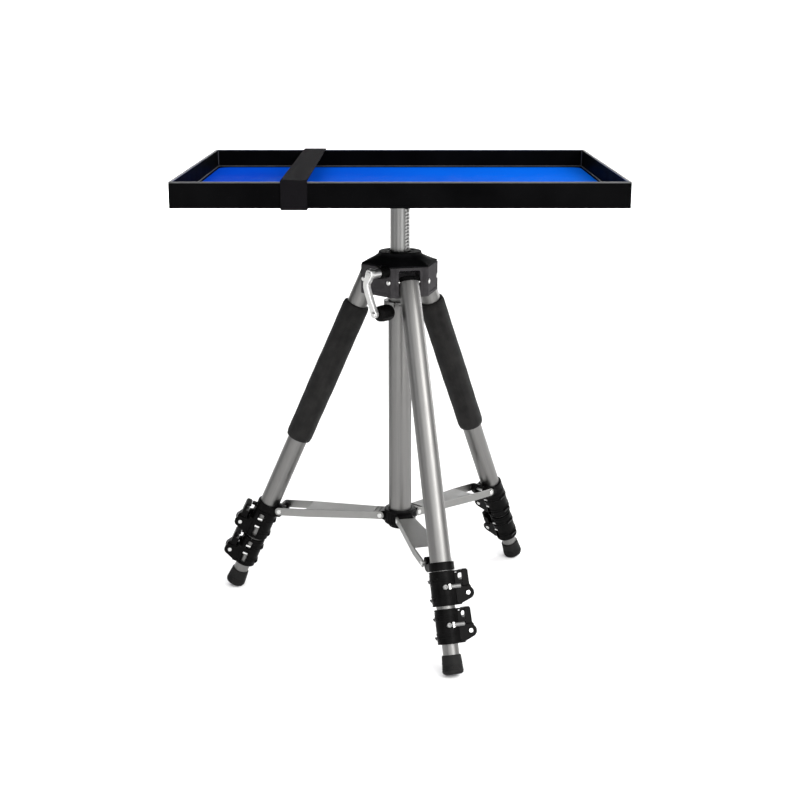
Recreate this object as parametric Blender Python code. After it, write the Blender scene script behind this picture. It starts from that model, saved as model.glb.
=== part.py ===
# Projector floor stand: a tray on a geared centre column, carried by a three-legged
# folding base with a sliding brace hub, telescopic legs and flip locks.
# Shapes are worked out in millimetres and written to the meshes in metres.
# World frame: +Z up, -Y is the front, origin on the floor in the middle of the outer box.
# Positions in this file are given from the column's axis, which stands COLUMN_Y behind it.

from math import asin, atan2, ceil, cos, pi, radians, sin, sqrt

import bmesh
import bpy
import numpy as np
from mathutils import Matrix, Vector

for old in list(bpy.data.objects):
    bpy.data.objects.remove(old, do_unlink=True)

# ---------------------------------------------------------------- dimensions (mm)
GAP = 0.3  # running and seating clearance between neighbours
COLUMN_Y = 13.824

# legs: s runs down the leg from its hinge, x points outward, y runs round the stand
LEG_NAMES = ("front", "right", "left")
LEG_AZIMUTHS = (-74.4, 45.6, 165.6)
LOCK_TURNS = (0.0, 0.0, -75.0)  # how far each leg's locks are turned on the tube
LEG_ANGLE = 24.1  # from vertical, fully open
HINGE_R = 38.0
UPPER_R, MID_R, LOWER_R, WALL = 12.25, 10.75, 9.3, 1.15
TUBE_TOP = -5.0
UPPER_END, MID_TOP, MID_END, LOWER_TOP, LOWER_END = 352.0, 72.0, 394.0, 110.0, 436.0
GRIP_R, GRIP_S0, GRIP_S1 = 16.4, 38.0, 229.0
COLLAR_R, COLLAR_S0, COLLAR_S1 = 14.8, 327.0, 336.6
LOCK_LENGTH = 39.0
LOCK1_S, LOCK1_R, LOCK1_PIVOT = 337.2, 14.9, 25.5
LOCK2_S, LOCK2_R, LOCK2_PIVOT = 379.6, 13.8, 23.6
LOCK_PIVOT_DROP = 26.6
FOOT_PROFILE = (
    (0.0, 452.6), (9.4, 452.3), (11.4, 451.0), (12.3, 448.6), (11.6, 440.0), (10.8, 430.6)
)

# spreader
PIN_S, PIN_X = 325.0, 18.7
HUB_R, HUB_PIN_R, HUB_HALF = 19.5, 23.4, 9.0
BRACE_TILT = 2.0
BRACE_HALF, BRACE_SHEET, BRACE_DEPTH, EAR_HALF = 11.0, 1.5, 5.0, 17.4
FORK = 36.0

# head
HEX_LEG_FACE, HEX_LEG_HALF = 42.0, 22.6
HEAD_Z0, HEAD_Z1, CAP_Z1, CAP_Z2 = 399.2, 434.0, 443.4, 448.2
SOCKET_HALF, SOCKET_IN, SOCKET_TOP = 13.0, 22.5, 430.6
HINGE_PIN_R, HINGE_PIN_HALF = 2.8, 25.0

# column and lift
CENTRE_TUBE_R, CENTRE_TUBE_Z0, CENTRE_TUBE_Z1 = 14.0, 106.0, 413.0
COLUMN_R, COLUMN_Z0, COLUMN_Z1 = 11.8, 190.0, 514.8
RACK_AZIMUTH = -44.4
TOOTH_PITCH, PINION_TEETH, ADDENDUM, DEDENDUM = 4.0, 10, 0.9, 1.1
RACK_PITCH_R, RACK_HALF, PINION_HALF = 11.0, 2.5, 2.4
SHAFT_Z, SHAFT_R = 429.6, 3.5

# tray
TRAY_W, TRAY_D, TRAY_Z0, TRAY_Z1, TRAY_WALL = 480.0, 390.0, 522.3, 549.9, 3.0
MAT_THICK = 2.0
STRAP_X, STRAP_HALF, STRAP_THICK = -110.0, 14.0, 1.5

# ---------------------------------------------------------------- derived
PINION_R = TOOTH_PITCH * PINION_TEETH / (2 * pi)
SHAFT_OFFSET = RACK_PITCH_R + PINION_R
# the hinge height puts the lowest point of the round foot on the floor
HINGE_Z = max(
    r * sin(radians(LEG_ANGLE)) + s * cos(radians(LEG_ANGLE)) for r, s in FOOT_PROFILE
)


def pin_on_leg(angle):
    """Radius and height of the brace pin when the leg stands at this angle."""
    a = radians(angle)
    return (
        HINGE_R + PIN_S * sin(a) - PIN_X * cos(a),
        HINGE_Z - PIN_S * cos(a) - PIN_X * sin(a),
    )


REST_PIN_R, REST_PIN_Z = pin_on_leg(LEG_ANGLE)
BRACE_LENGTH = (REST_PIN_R - HUB_PIN_R) / cos(radians(BRACE_TILT))
HUB_Z = REST_PIN_Z + BRACE_LENGTH * sin(radians(BRACE_TILT))

# ---------------------------------------------------------------- materials


def material(name, colour, roughness, metallic=0.0):
    made = bpy.data.materials.new(name)
    made.use_nodes = True
    shader = made.node_tree.nodes["Principled BSDF"]
    shader.inputs["Base Color"].default_value = (*colour, 1.0)
    shader.inputs["Roughness"].default_value = roughness
    shader.inputs["Metallic"].default_value = metallic
    return made


LOOKS = {
    "tube": ((0.62, 0.62, 0.61), 0.28, 1.0),
    "column": ((0.60, 0.60, 0.59), 0.32, 1.0),
    "head": ((0.045, 0.044, 0.046), 0.42, 0.0),
    "cap": ((0.012, 0.012, 0.013), 0.28, 0.0),
    "plastic": ((0.016, 0.016, 0.017), 0.38, 0.0),
    "rubber": ((0.02, 0.02, 0.021), 0.75, 0.0),
    "foam": ((0.022, 0.021, 0.021), 0.9, 0.0),
    "brace": ((0.58, 0.58, 0.56), 0.4, 1.0),
    "steel": ((0.72, 0.72, 0.71), 0.22, 1.0),
    "crank": ((0.78, 0.78, 0.77), 0.25, 1.0),
    "tray": ((0.012, 0.012, 0.013), 0.45, 0.0),
    "mat": ((0.01, 0.12, 0.75), 0.6, 0.0),
    "strap": ((0.02, 0.02, 0.021), 0.8, 0.0),
}

# ---------------------------------------------------------------- shape helpers


def turned(profile, steps=24, closed=True):
    """Solid of revolution about Z. An open profile starts and ends on the axis."""
    bm = bmesh.new()
    verts = [bm.verts.new((r, 0.0, z)) for r, z in profile]
    for a, b in zip(verts, verts[1:]):
        bm.edges.new((a, b))
    if closed:
        bm.edges.new((verts[-1], verts[0]))
    bmesh.ops.spin(
        bm, geom=bm.verts[:] + bm.edges[:], axis=(0, 0, 1), cent=(0, 0, 0),
        dvec=(0, 0, 0), angle=2 * pi, steps=steps, use_duplicate=False,
    )
    bmesh.ops.remove_doubles(bm, verts=bm.verts[:], dist=1e-4)
    bmesh.ops.recalc_face_normals(bm, faces=bm.faces[:])
    return bm


def sleeve(r_out, r_in, z0, z1, chamfer=0.0, steps=24):
    c = chamfer
    if c:
        return turned(
            [(r_in, z0), (r_out - c, z0), (r_out, z0 + c), (r_out, z1 - c), (r_out - c, z1), (r_in, z1)],
            steps,
        )
    return turned([(r_in, z0), (r_out, z0), (r_out, z1), (r_in, z1)], steps)


def prism(outline, low, high, frame=None):
    """Outline in the XY plane, drawn out along Z from low to high, then moved by frame."""
    bm = bmesh.new()
    face = bm.faces.new([bm.verts.new((x, y, low)) for x, y in outline])
    grown = bmesh.ops.extrude_face_region(bm, geom=[face])
    up = [g for g in grown["geom"] if isinstance(g, bmesh.types.BMVert)]
    bmesh.ops.translate(bm, verts=up, vec=(0, 0, high - low))
    bmesh.ops.recalc_face_normals(bm, faces=bm.faces[:])
    if frame is not None:
        bm.transform(frame)
        bmesh.ops.recalc_face_normals(bm, faces=bm.faces[:])
    return bm


def block(x, y, z):
    return prism([(x[0], y[0]), (x[1], y[0]), (x[1], y[1]), (x[0], y[1])], z[0], z[1])


def rod(start, end, radius, steps=16):
    start, end = Vector(start), Vector(end)
    along = end - start
    bm = bmesh.new()
    bmesh.ops.create_cone(
        bm, cap_ends=True, cap_tris=False, segments=steps, radius1=radius, radius2=radius,
        depth=along.length,
    )
    turn = along.to_track_quat("Z", "Y").to_matrix().to_4x4()
    bm.transform(Matrix.Translation((start + end) / 2) @ turn)
    return bm


def arc(cx, cy, r, a0, a1, steps):
    return [
        (cx + r * cos(radians(a0 + (a1 - a0) * i / steps)), cy + r * sin(radians(a0 + (a1 - a0) * i / steps)))
        for i in range(steps + 1)
    ]


def loose(bm, name):
    mesh = bpy.data.meshes.new(name)
    bm.to_mesh(mesh)
    bm.free()
    made = bpy.data.objects.new(name, mesh)
    bpy.context.scene.collection.objects.link(made)
    return made


def join(bm, other, operation="UNION"):
    """The Boolean of two closed shapes, as a new shape."""
    body, tool = loose(bm, "work_body"), loose(other, "work_tool")
    tool.hide_render = True
    tool.display_type = "WIRE"
    step = body.modifiers.new("Boolean", "BOOLEAN")
    step.operation = operation
    step.solver = "EXACT"
    step.object = tool
    bpy.context.view_layer.update()
    graph = bpy.context.evaluated_depsgraph_get()
    mesh = bpy.data.meshes.new_from_object(body.evaluated_get(graph))
    result = bmesh.new()
    result.from_mesh(mesh)
    for used in (body, tool):
        data = used.data
        bpy.data.objects.remove(used, do_unlink=True)
        bpy.data.meshes.remove(data)
    bpy.data.meshes.remove(mesh)
    bmesh.ops.remove_doubles(result, verts=result.verts[:], dist=1e-3)
    bmesh.ops.dissolve_degenerate(result, edges=result.edges[:], dist=1e-3)
    return result


def cut(bm, other):
    return join(bm, other, "DIFFERENCE")


# axes lying down: XZ outlines drawn out along Y, YZ outlines drawn out along X
ALONG_Y = Matrix(((1, 0, 0, 0), (0, 0, -1, 0), (0, 1, 0, 0), (0, 0, 0, 1)))
ALONG_X = Matrix(((0, 0, 1, 0), (1, 0, 0, 0), (0, 1, 0, 0), (0, 0, 0, 1)))

MATERIALS = {name: material(name, *values) for name, values in LOOKS.items()}


def empty(name, frame, parent=None):
    made = bpy.data.objects.new(name, None)
    made.empty_display_size = 0.02
    bpy.context.scene.collection.objects.link(made)
    made.parent = parent
    made.matrix_local = frame
    return made


def metres(frame):
    out = frame.copy()
    out.translation = frame.translation * 0.001
    return out


def piece(name, bm, look, parent=None, sharp=35.0):
    """Turns a shape in millimetres into a finished object under its parent frame."""
    bmesh.ops.scale(bm, vec=(0.001, 0.001, 0.001), verts=bm.verts[:])
    made = loose(bm, name)
    mesh = made.data
    mesh.shade_smooth()
    mesh.set_sharp_from_angle(angle=radians(sharp))
    mesh.materials.append(MATERIALS[look])
    made.parent = parent
    return made


# ---------------------------------------------------------------- frames


def leg_frame(azimuth, angle=LEG_ANGLE):
    return (
        Matrix.Rotation(radians(azimuth), 4, "Z")
        @ Matrix.Translation((HINGE_R, 0, HINGE_Z))
        @ Matrix.Rotation(-radians(angle), 4, "Y")
    )


stand = empty("stand", metres(Matrix.Translation((0, COLUMN_Y, 0))))
column_axis = empty("column_axis", Matrix.Identity(4), stand)
hub_axis = empty("hub_axis", metres(Matrix.Translation((0, 0, HUB_Z))), stand)

out = radians(RACK_AZIMUTH)
toward_rack = Vector((-cos(out), -sin(out), 0))
shaft_dir = Vector((sin(out), -cos(out), 0))  # from the pinion out to the crank
# crank frame: X to the column, Y up, Z from the crank back into the head
crank_matrix = Matrix.Translation((SHAFT_OFFSET * cos(out), SHAFT_OFFSET * sin(out), SHAFT_Z)) @ Matrix(
    (
        (toward_rack.x, 0, -shaft_dir.x, 0),
        (toward_rack.y, 0, -shaft_dir.y, 0),
        (0, 1, 0, 0),
        (0, 0, 0, 1),
    )
)
crank_axis = empty("crank_axis", metres(crank_matrix), stand)

# ---------------------------------------------------------------- head


def hexagon(scale=1.0):
    points = []
    for azimuth in LEG_AZIMUTHS:
        a = radians(azimuth)
        for side in (-1, 1):
            x, y = HEX_LEG_FACE * scale, side * HEX_LEG_HALF * scale
            points.append((x * cos(a) - y * sin(a), x * sin(a) + y * cos(a)))
    return points


housing = prism(hexagon(), HEAD_Z0, HEAD_Z1)
bmesh.ops.bevel(
    housing, geom=[e for e in housing.edges if abs(e.verts[0].co.z - e.verts[1].co.z) > 1],
    offset=2.0, segments=2, affect="EDGES", profile=0.5,
)
housing = join(housing, turned([(0, 393.6), (18.6, 393.6), (19.5, 394.5), (19.5, 402), (0, 402)], 28, closed=False))
for azimuth in LEG_AZIMUTHS:
    turn = Matrix.Rotation(radians(azimuth), 4, "Z")
    slot = block((SOCKET_IN, 70), (-SOCKET_HALF, SOCKET_HALF), (380, SOCKET_TOP))
    slot.transform(turn)
    housing = cut(housing, slot)
    hole = rod((HINGE_R, -40, HINGE_Z), (HINGE_R, 40, HINGE_Z), HINGE_PIN_R + GAP, 12)
    hole.transform(turn)
    housing = cut(housing, hole)
seat = CENTRE_TUBE_Z1 + GAP
bore = turned([(0, 380), (CENTRE_TUBE_R + GAP, 380), (CENTRE_TUBE_R + GAP, seat), (12.3, seat), (12.3, 440), (0, 440)], 28, closed=False)
housing = cut(housing, bore)


def along_shaft(t, lift=0.0, side=0.0):
    """World point a distance t out along the crank shaft, with a sideways and upward offset."""
    w = Vector((cos(out), sin(out), 0))
    return w * (SHAFT_OFFSET + side) + shaft_dir * t + Vector((0, 0, SHAFT_Z + lift))


housing = cut(housing, rod(along_shaft(-3.2), along_shaft(3.2), 8.0, 20))
housing = cut(housing, rod(along_shaft(0), along_shaft(60), SHAFT_R + 0.4, 14))
piece("shoulder_housing", housing, "head", stand)

# roof: a hexagon under, drawn up to a round collar round the column
COUNT = 24
corners = [Vector((x, y, 0)) for x, y in hexagon(0.985)]


def on_hexagon(angle):
    """The point of the hexagon's edge in this direction."""
    way = Vector((cos(angle), sin(angle), 0))
    best = None
    for a, b in zip(corners, corners[1:] + corners[:1]):
        side = b - a
        det = way.x * -side.y + side.x * way.y
        if abs(det) < 1e-9:
            continue
        r = (a.x * -side.y + side.x * a.y) / det
        t = (way.x * a.y - way.y * a.x) / det
        if r > 0 and -1e-6 <= t <= 1 + 1e-6:
            best = way * r
    return best


corner_angles = sorted(atan2(c.y, c.x) for c in corners)
angles = []
for i, a in enumerate(corner_angles):
    b = corner_angles[(i + 1) % len(corner_angles)] + (2 * pi if i == len(corner_angles) - 1 else 0)
    angles += [a + (b - a) * k / (COUNT // 6) for k in range(COUNT // 6)]
cap = bmesh.new()
rings = []
for kind, size, z in (
    ("round", 12.6, HEAD_Z1 + GAP), ("hexagon", 1.0, HEAD_Z1 + GAP), ("hexagon", 1.0, HEAD_Z1 + 1.6),
    ("round", 28.0, CAP_Z1), ("round", 25.6, CAP_Z2 - 0.6), ("round", 25.0, CAP_Z2), ("round", 12.6, CAP_Z2),
):
    ring = []
    for a in angles:
        p = on_hexagon(a) * size if kind == "hexagon" else Vector((cos(a), sin(a), 0)) * size
        ring.append(cap.verts.new((p.x, p.y, z)))
    rings.append(ring)
for low, high in zip(rings, rings[1:] + rings[:1]):
    for i in range(len(low)):
        j = (i + 1) % len(low)
        cap.faces.new((low[i], low[j], high[j], high[i]))
bmesh.ops.recalc_face_normals(cap, faces=cap.faces[:])
cap = cut(cap, rod(along_shaft(-3.2), along_shaft(3.2), 8.0, 20))
piece("shoulder_cap", cap, "cap", stand)

for name, azimuth in zip(LEG_NAMES, LEG_AZIMUTHS):
    pin = rod((HINGE_R, -HINGE_PIN_HALF, HINGE_Z), (HINGE_R, HINGE_PIN_HALF, HINGE_Z), HINGE_PIN_R, 12)
    pin.transform(Matrix.Rotation(radians(azimuth), 4, "Z"))
    piece(f"leg_hinge_pin_{name}", pin, "steel", stand)

piece("centre_tube", sleeve(CENTRE_TUBE_R, 12.8, CENTRE_TUBE_Z0, CENTRE_TUBE_Z1, steps=28), "tube", stand)
piece("tube_clamp_ring", sleeve(19.5, CENTRE_TUBE_R + GAP, 382.0, 388.8, 0.8, 28), "tube", stand)
end_plug = turned(
    [(0, 102.4), (13.0, 102.4), (13.8, 103.2), (13.8, 105.7), (12.4, 105.7), (12.4, 112.0), (0, 112.0)], 24, closed=False
)
piece("tube_end_plug", end_plug, "plastic", stand)

bearing = rod(along_shaft(41.0), along_shaft(52.0), 7.3, 20)
bearing = cut(bearing, rod(along_shaft(38.0), along_shaft(56.0), SHAFT_R + 0.4, 14))
piece("crank_bearing", bearing, "plastic", stand)

# ---------------------------------------------------------------- column

# column section: a tube with a channel down one side for the rack
NOTCH, NOTCH_R, INNER_R, INNER_NOTCH, INNER_NOTCH_R = 2.8, 7.3, 10.5, 4.0, 6.1


def column_section(radius, half, depth, steps=22):
    a = asin(half / radius)
    points = [(depth, -half), (depth, half)]
    points += [
        (radius * cos(a + (2 * pi - 2 * a) * i / steps), radius * sin(a + (2 * pi - 2 * a) * i / steps))
        for i in range(steps + 1)
    ]
    return points


def hollow(outer, inner, z0, z1):
    """A tube whose inner and outer outlines have the same number of points."""
    bm = bmesh.new()
    loops = [
        [bm.verts.new((x, y, z)) for x, y in outline]
        for outline, z in ((outer, z0), (outer, z1), (inner, z1), (inner, z0))
    ]
    for a, b in zip(loops, loops[1:] + loops[:1]):
        for i in range(len(a)):
            j = (i + 1) % len(a)
            bm.faces.new((a[i], a[j], b[j], b[i]))
    bmesh.ops.recalc_face_normals(bm, faces=bm.faces[:])
    return bm


rack_turn = Matrix.Rotation(out, 4, "Z")
column = hollow(
    column_section(COLUMN_R, NOTCH, NOTCH_R), column_section(INNER_R, INNER_NOTCH, INNER_NOTCH_R), COLUMN_Z0, COLUMN_Z1
)
column.transform(rack_turn)
piece("column_tube", column, "column", column_axis)

tip_half = TOOTH_PITCH / 4 - ADDENDUM * 0.364 - 0.08
root_half = TOOTH_PITCH / 4 + DEDENDUM * 0.364 - 0.08
first = -int((SHAFT_Z - (COLUMN_Z0 + 12)) // TOOTH_PITCH)
last = int((COLUMN_Z1 - 20 - SHAFT_Z) // TOOTH_PITCH)
rack = [(NOTCH_R + GAP, SHAFT_Z + first * TOOTH_PITCH - 4)]
for k in range(first, last + 1):
    z = SHAFT_Z + k * TOOTH_PITCH
    rack += [
        (RACK_PITCH_R - DEDENDUM, z - root_half), (RACK_PITCH_R + ADDENDUM, z - tip_half),
        (RACK_PITCH_R + ADDENDUM, z + tip_half), (RACK_PITCH_R - DEDENDUM, z + root_half),
    ]
rack.append((NOTCH_R + GAP, SHAFT_Z + last * TOOTH_PITCH + 4))
rack.insert(1, (RACK_PITCH_R - DEDENDUM, SHAFT_Z + first * TOOTH_PITCH - 4))
rack.insert(-1, (RACK_PITCH_R - DEDENDUM, SHAFT_Z + last * TOOTH_PITCH + 4))
piece("column_rack", prism(rack, -RACK_HALF, RACK_HALF, rack_turn @ ALONG_Y), "column", column_axis)

flange = turned(
    [(0, 515.2), (12.1, 515.2), (12.1, 500.8), (16.4, 500.8), (17.0, 501.6), (17.0, 515.6), (34.0, 516.8),
     (34.6, 517.8), (34.6, 522.0), (0, 522.0)],
    28, closed=False,
)
piece("tray_flange", flange, "plastic", column_axis)

# ---------------------------------------------------------------- tray

half_w, half_d = TRAY_W / 2, TRAY_D / 2


def rounded(w, d, r, steps):
    points = []
    for cx, cy, a in ((w - r, d - r, 0), (-w + r, d - r, 90), (-w + r, -d + r, 180), (w - r, -d + r, 270)):
        points += arc(cx, cy, r, a, a + 90, steps)
    return points


pan = prism(rounded(half_w, half_d, 1.5, 2), TRAY_Z0, TRAY_Z1)
pan = cut(pan, prism(rounded(half_w - TRAY_WALL, half_d - TRAY_WALL, 0.8, 2), TRAY_Z0 + 3.0, TRAY_Z1 + 10))
piece("tray_pan", pan, "tray", column_axis)
mat = prism(
    rounded(half_w - TRAY_WALL - 2.5, half_d - TRAY_WALL - 2.5, 9.0, 4), TRAY_Z0 + 3.0 + GAP, TRAY_Z0 + 3.0 + GAP + MAT_THICK
)
piece("tray_mat", mat, "mat", column_axis)

reach, low, high = half_d + GAP, TRAY_Z0 - GAP, TRAY_Z1 + GAP
strap_out, strap_in = [], []
for cy, cz, a in ((reach, high, 0), (-reach, high, 90), (-reach, low, 180), (reach, low, 270)):
    strap_out += arc(cy, cz, STRAP_THICK, a, a + 90, 2)
    strap_in += [(cy, cz), (cy, cz), (cy, cz)]
strap = prism(strap_out, STRAP_X - STRAP_HALF, STRAP_X + STRAP_HALF, ALONG_X)
strap = cut(strap, block((STRAP_X - 30, STRAP_X + 30), (-reach, reach), (low, high)))
piece("tray_strap", strap, "strap", column_axis)

# ---------------------------------------------------------------- crank


def pinion_outline(per_tooth=10, clearance=0.14):
    """Pinion profile: what is left of a disc after the rack has rolled past it."""
    outline = []
    step = 2 * pi / PINION_TEETH
    rolls = np.radians(np.arange(-75.0, 75.1, 1.0))
    tip, root = PINION_R - ADDENDUM, PINION_R + DEDENDUM
    for i in range(PINION_TEETH * per_tooth):
        a = 2 * pi * i / (PINION_TEETH * per_tooth)
        reach_here = PINION_R + ADDENDUM - 0.1
        for r in np.arange(PINION_R + ADDENDUM - 0.1, 3.5, -0.02):
            turned_to = a - step * round(a / step) + rolls
            x, y = r * np.cos(turned_to), r * np.sin(turned_to)
            along = y - PINION_R * rolls
            along = np.abs((along + TOOTH_PITCH / 2) % TOOTH_PITCH - TOOTH_PITCH / 2)
            depth = np.clip((along - tip_half - clearance) / (root_half - tip_half), 0.0, 1.0)
            face = tip + (root - tip) * depth - clearance
            if np.all((x <= face) | (np.cos(turned_to) < 0.2)):
                reach_here = r
                break
        outline.append((reach_here * cos(a), reach_here * sin(a)))
    return outline


piece("crank_pinion", prism(pinion_outline(), -PINION_HALF, PINION_HALF), "steel", crank_axis)
# in the crank frame Z runs back into the head, so the crank end is at negative Z
piece("crank_shaft", rod((0, 0, -PINION_HALF - GAP), (0, 0, -70.5), SHAFT_R, 14), "steel", crank_axis)

# arm outline: X here is toward the column, so the arm's swept side is drawn at +X
ARM = [(2.4, 4.4), (5.8, -15.0), (-6.2, -44.0)]
ARM_WIDTH = (5.4, 5.0, 4.6)
left, right = [], []
for i, ((x, y), w) in enumerate(zip(ARM, ARM_WIDTH)):
    before, after = Vector(ARM[max(i - 1, 0)]), Vector(ARM[min(i + 1, len(ARM) - 1)])
    way = (after - before).normalized()
    side = Vector((-way.y, way.x))
    left.append((x + side.x * w, y + side.y * w))
    right.append((x - side.x * w, y - side.y * w))
top_way = (Vector(ARM[1]) - Vector(ARM[0])).normalized()
arm = prism([(-4.8, 3.2), (-2.8, 6.6)] + [(4.0, 8.2), (9.4, 6.0)] + [left[1]] + [left[2]] + [(-9.6, -50.4)] + [right[2]] + [right[1]] + [(-1.8, -4.8), (-4.6, -2.2)], -69.5, -62.8)
arm = join(arm, rod((0, 0, -52.4), (0, 0, -66.0), 5.3, 18))
arm = cut(arm, rod((0, 0, -45.0), (0, 0, -80.0), SHAFT_R + 0.3, 14))
piece("crank_arm", arm, "crank", crank_axis)

GRIP_X, GRIP_Y = -8.0, -46.0
grip_axis = empty("grip_axis", metres(Matrix.Translation((GRIP_X, GRIP_Y, 0))), crank_axis)
grip = turned(
    [(0, -62.4), (6.8, -62.4), (8.9, -60.6), (9.6, -56.0), (9.6, -48.0), (8.9, -43.6), (6.6, -41.8), (0, -41.8)],
    20, closed=False,
)
piece("crank_grip", grip, "plastic", grip_axis)

# ---------------------------------------------------------------- spreader hub

hub = sleeve(HUB_R, CENTRE_TUBE_R + GAP, -HUB_HALF, HUB_HALF, 1.0, 28)
for azimuth in LEG_AZIMUTHS:
    turn = Matrix.Rotation(radians(azimuth), 4, "Z")
    lug = arc(HUB_PIN_R, 0, 4.6, -90, 90, 6) + [(16.0, 7.0), (16.0, -7.0)]
    hub = join(hub, prism(lug, -9.1, 9.1, turn @ ALONG_Y))
hub = cut(hub, rod((0, 0, -30), (0, 0, 30), CENTRE_TUBE_R + GAP, 28))
for azimuth in LEG_AZIMUTHS:
    hole = rod((HUB_PIN_R, -20, 0), (HUB_PIN_R, 20, 0), 2.3, 12)
    hole.transform(Matrix.Rotation(radians(azimuth), 4, "Z"))
    hub = cut(hub, hole)
piece("spreader_hub", hub, "plastic", hub_axis)

# ---------------------------------------------------------------- braces
# brace frame: X runs out from the hub pin to the leg pin, Z up, Y across


def brace_shape():
    """A channel, open below, that widens toward the leg and ends in a fork of two ears."""
    inner, r = BRACE_HALF, 5.0
    neck, flare = 10.0, BRACE_LENGTH - FORK + 0.5
    # plan view of the outer sides
    plan = [(-6, -inner), (neck, -inner), (flare, -EAR_HALF), (BRACE_LENGTH + 8, -EAR_HALF)]
    plan += [(x, -y) for x, y in reversed(plan)]
    side = arc(0, 0, r, 90, 270, 8) + [(BRACE_LENGTH, -r)] + arc(BRACE_LENGTH, 0, r, -90, 90, 8)[1:]
    body = prism(plan, -BRACE_DEPTH, BRACE_DEPTH)
    # trim to the rounded side view
    keep = prism(side, -30, 30, ALONG_Y)
    body = join(body, keep, "INTERSECT")
    sheet = BRACE_SHEET
    slope = (EAR_HALF - inner) / (flare - neck)
    lag = sheet * (sqrt(1 + slope * slope) - 1) / slope
    inside = [(-20, -inner + sheet), (neck + lag, -inner + sheet), (flare + lag, -EAR_HALF + sheet), (BRACE_LENGTH + 20, -EAR_HALF + sheet)]
    inside += [(x, -y) for x, y in reversed(inside)]
    body = cut(body, prism(inside, -20, BRACE_DEPTH - sheet))
    # the fork at the leg and the clear end at the hub have no top plate
    body = cut(body, prism([(BRACE_LENGTH - FORK, -EAR_HALF + sheet), (BRACE_LENGTH + 20, -EAR_HALF + sheet), (BRACE_LENGTH + 20, EAR_HALF - sheet), (BRACE_LENGTH - FORK, EAR_HALF - sheet)], -20, 20))
    body = cut(body, block((-20, 7.5), (-inner + sheet, inner - sheet), (-20, 20)))
    for x in (0, BRACE_LENGTH):
        body = cut(body, rod((x, -40, 0), (x, 40, 0), 2.3, 12))
    return body


for name, azimuth in zip(LEG_NAMES, LEG_AZIMUTHS):
    frame = (
        Matrix.Rotation(radians(azimuth), 4, "Z")
        @ Matrix.Translation((HUB_PIN_R, 0, 0))
    )
    pivot = empty(f"brace_pivot_{name}", metres(frame), hub_axis)
    pin = rod((0, -10.8, 0), (0, 10.8, 0), 2.0, 12)
    piece(f"hub_pin_{name}", pin, "steel", pivot)
    swing = empty(f"brace_swing_{name}", Matrix.Rotation(radians(BRACE_TILT), 4, "Y"), pivot)
    piece(f"brace_{name}", brace_shape(), "brace", swing)

# ---------------------------------------------------------------- legs


def collar_shape():
    """Collar with the lug that carries the brace pin on the inner side of the leg."""
    body = sleeve(COLLAR_R, UPPER_R + GAP, -COLLAR_S1, -COLLAR_S0, 0.8)
    side = [(-3.0, -COLLAR_S1 + 0.2), (-15.0, -COLLAR_S1 + 0.2), (-21.5, -333.4), (-24.2, -328.4), (-24.2, -323.2),
            (-21.6, -319.4), (-17.5, -318.4), (-14.6, -320.6), (-12.0, -327.4), (-3.0, -327.4)]
    body = join(body, prism(side, -13.4, 13.4, ALONG_Y))
    body = cut(body, rod((0, 0, -300), (0, 0, -350), UPPER_R + GAP, 24))
    return cut(body, rod((-PIN_X, -30, -PIN_S), (-PIN_X, 30, -PIN_S), 2.3, 12))


def lock_shape(top, radius, pivot, tube, inner_tube, tube_end):
    """Clamp sleeve with a lug block and two pivot plates on its +Y side."""
    low = top + LOCK_LENGTH
    body = turned(
        [(5.0, -low), (radius - 1.0, -low), (radius, -low + 1.0), (radius, -top - 1.0), (radius - 1.0, -top), (5.0, -top)]
    )
    body = join(body, block((-9.2, 9.2), (6.0, radius + 2.3), (-low + 0.02, -top - 15.2)))
    # front plate of the split, beside the lever's finger gap
    edge = radius + 3.9
    ear = [(8.0, -top - 16.0)] + arc(edge - 5.5, -top - 9.5, 5.5, 0, 90, 4) + [(8.0, -top - 4.0)]
    ear.insert(1, (edge, -top - 16.0))
    body = join(body, prism(ear, 4.9, 9.2, ALONG_X))
    s = top + LOCK_PIVOT_DROP
    for side in (-1, 1):
        edges = sorted((side * 5.3, side * 9.2))
        plate = arc(pivot, -s, 7.2, -90, 90, 8) + [(8.0, -s + 7.2), (8.0, -s - 7.2)]
        body = join(body, prism(plate, edges[0], edges[1], ALONG_X))
    body = cut(body, turned([(0, -low - 5), (inner_tube + GAP, -low - 5), (inner_tube + GAP, -tube_end - GAP), (tube + GAP, -tube_end - GAP), (tube + GAP, -top + 5), (0, -top + 5)], 24, closed=False))
    return cut(body, rod((-20, pivot, -s), (20, pivot, -s), 3.2, 12))


def lever_shape():
    """Flip lever with its pivot pin; the origin is the pivot, Z up the leg, Y outward."""
    body = prism(arc(0, 0, 6.4, 180, 360, 8) + [(5.6, 7.0), (2.8, 11.5), (-3.0, 11.5), (-5.8, 4.0)], -4.9, 4.9, ALONG_X)
    arm_side = [(-5.4, 8.2), (2.2, 8.2), (2.8, 11.0), (2.4, 25.4), (0.8, 27.2), (-3.8, 27.2), (-5.4, 25.6)]
    body = join(body, prism(arm_side, -8.8, 8.8, ALONG_X))
    return join(body, rod((-9.4, 0, 0), (9.4, 0, 0), 2.9, 12))


def foot_shape():
    outside = [(r, -s) for r, s in FOOT_PROFILE]
    return turned(outside + [(LOWER_R + GAP, -430.6), (LOWER_R + GAP, -LOWER_END - GAP), (0, -LOWER_END - GAP)], 24, closed=False)


def drilled(tube):
    return cut(tube, rod((0, -30, 0), (0, 30, 0), HINGE_PIN_R + GAP, 12))


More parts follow.
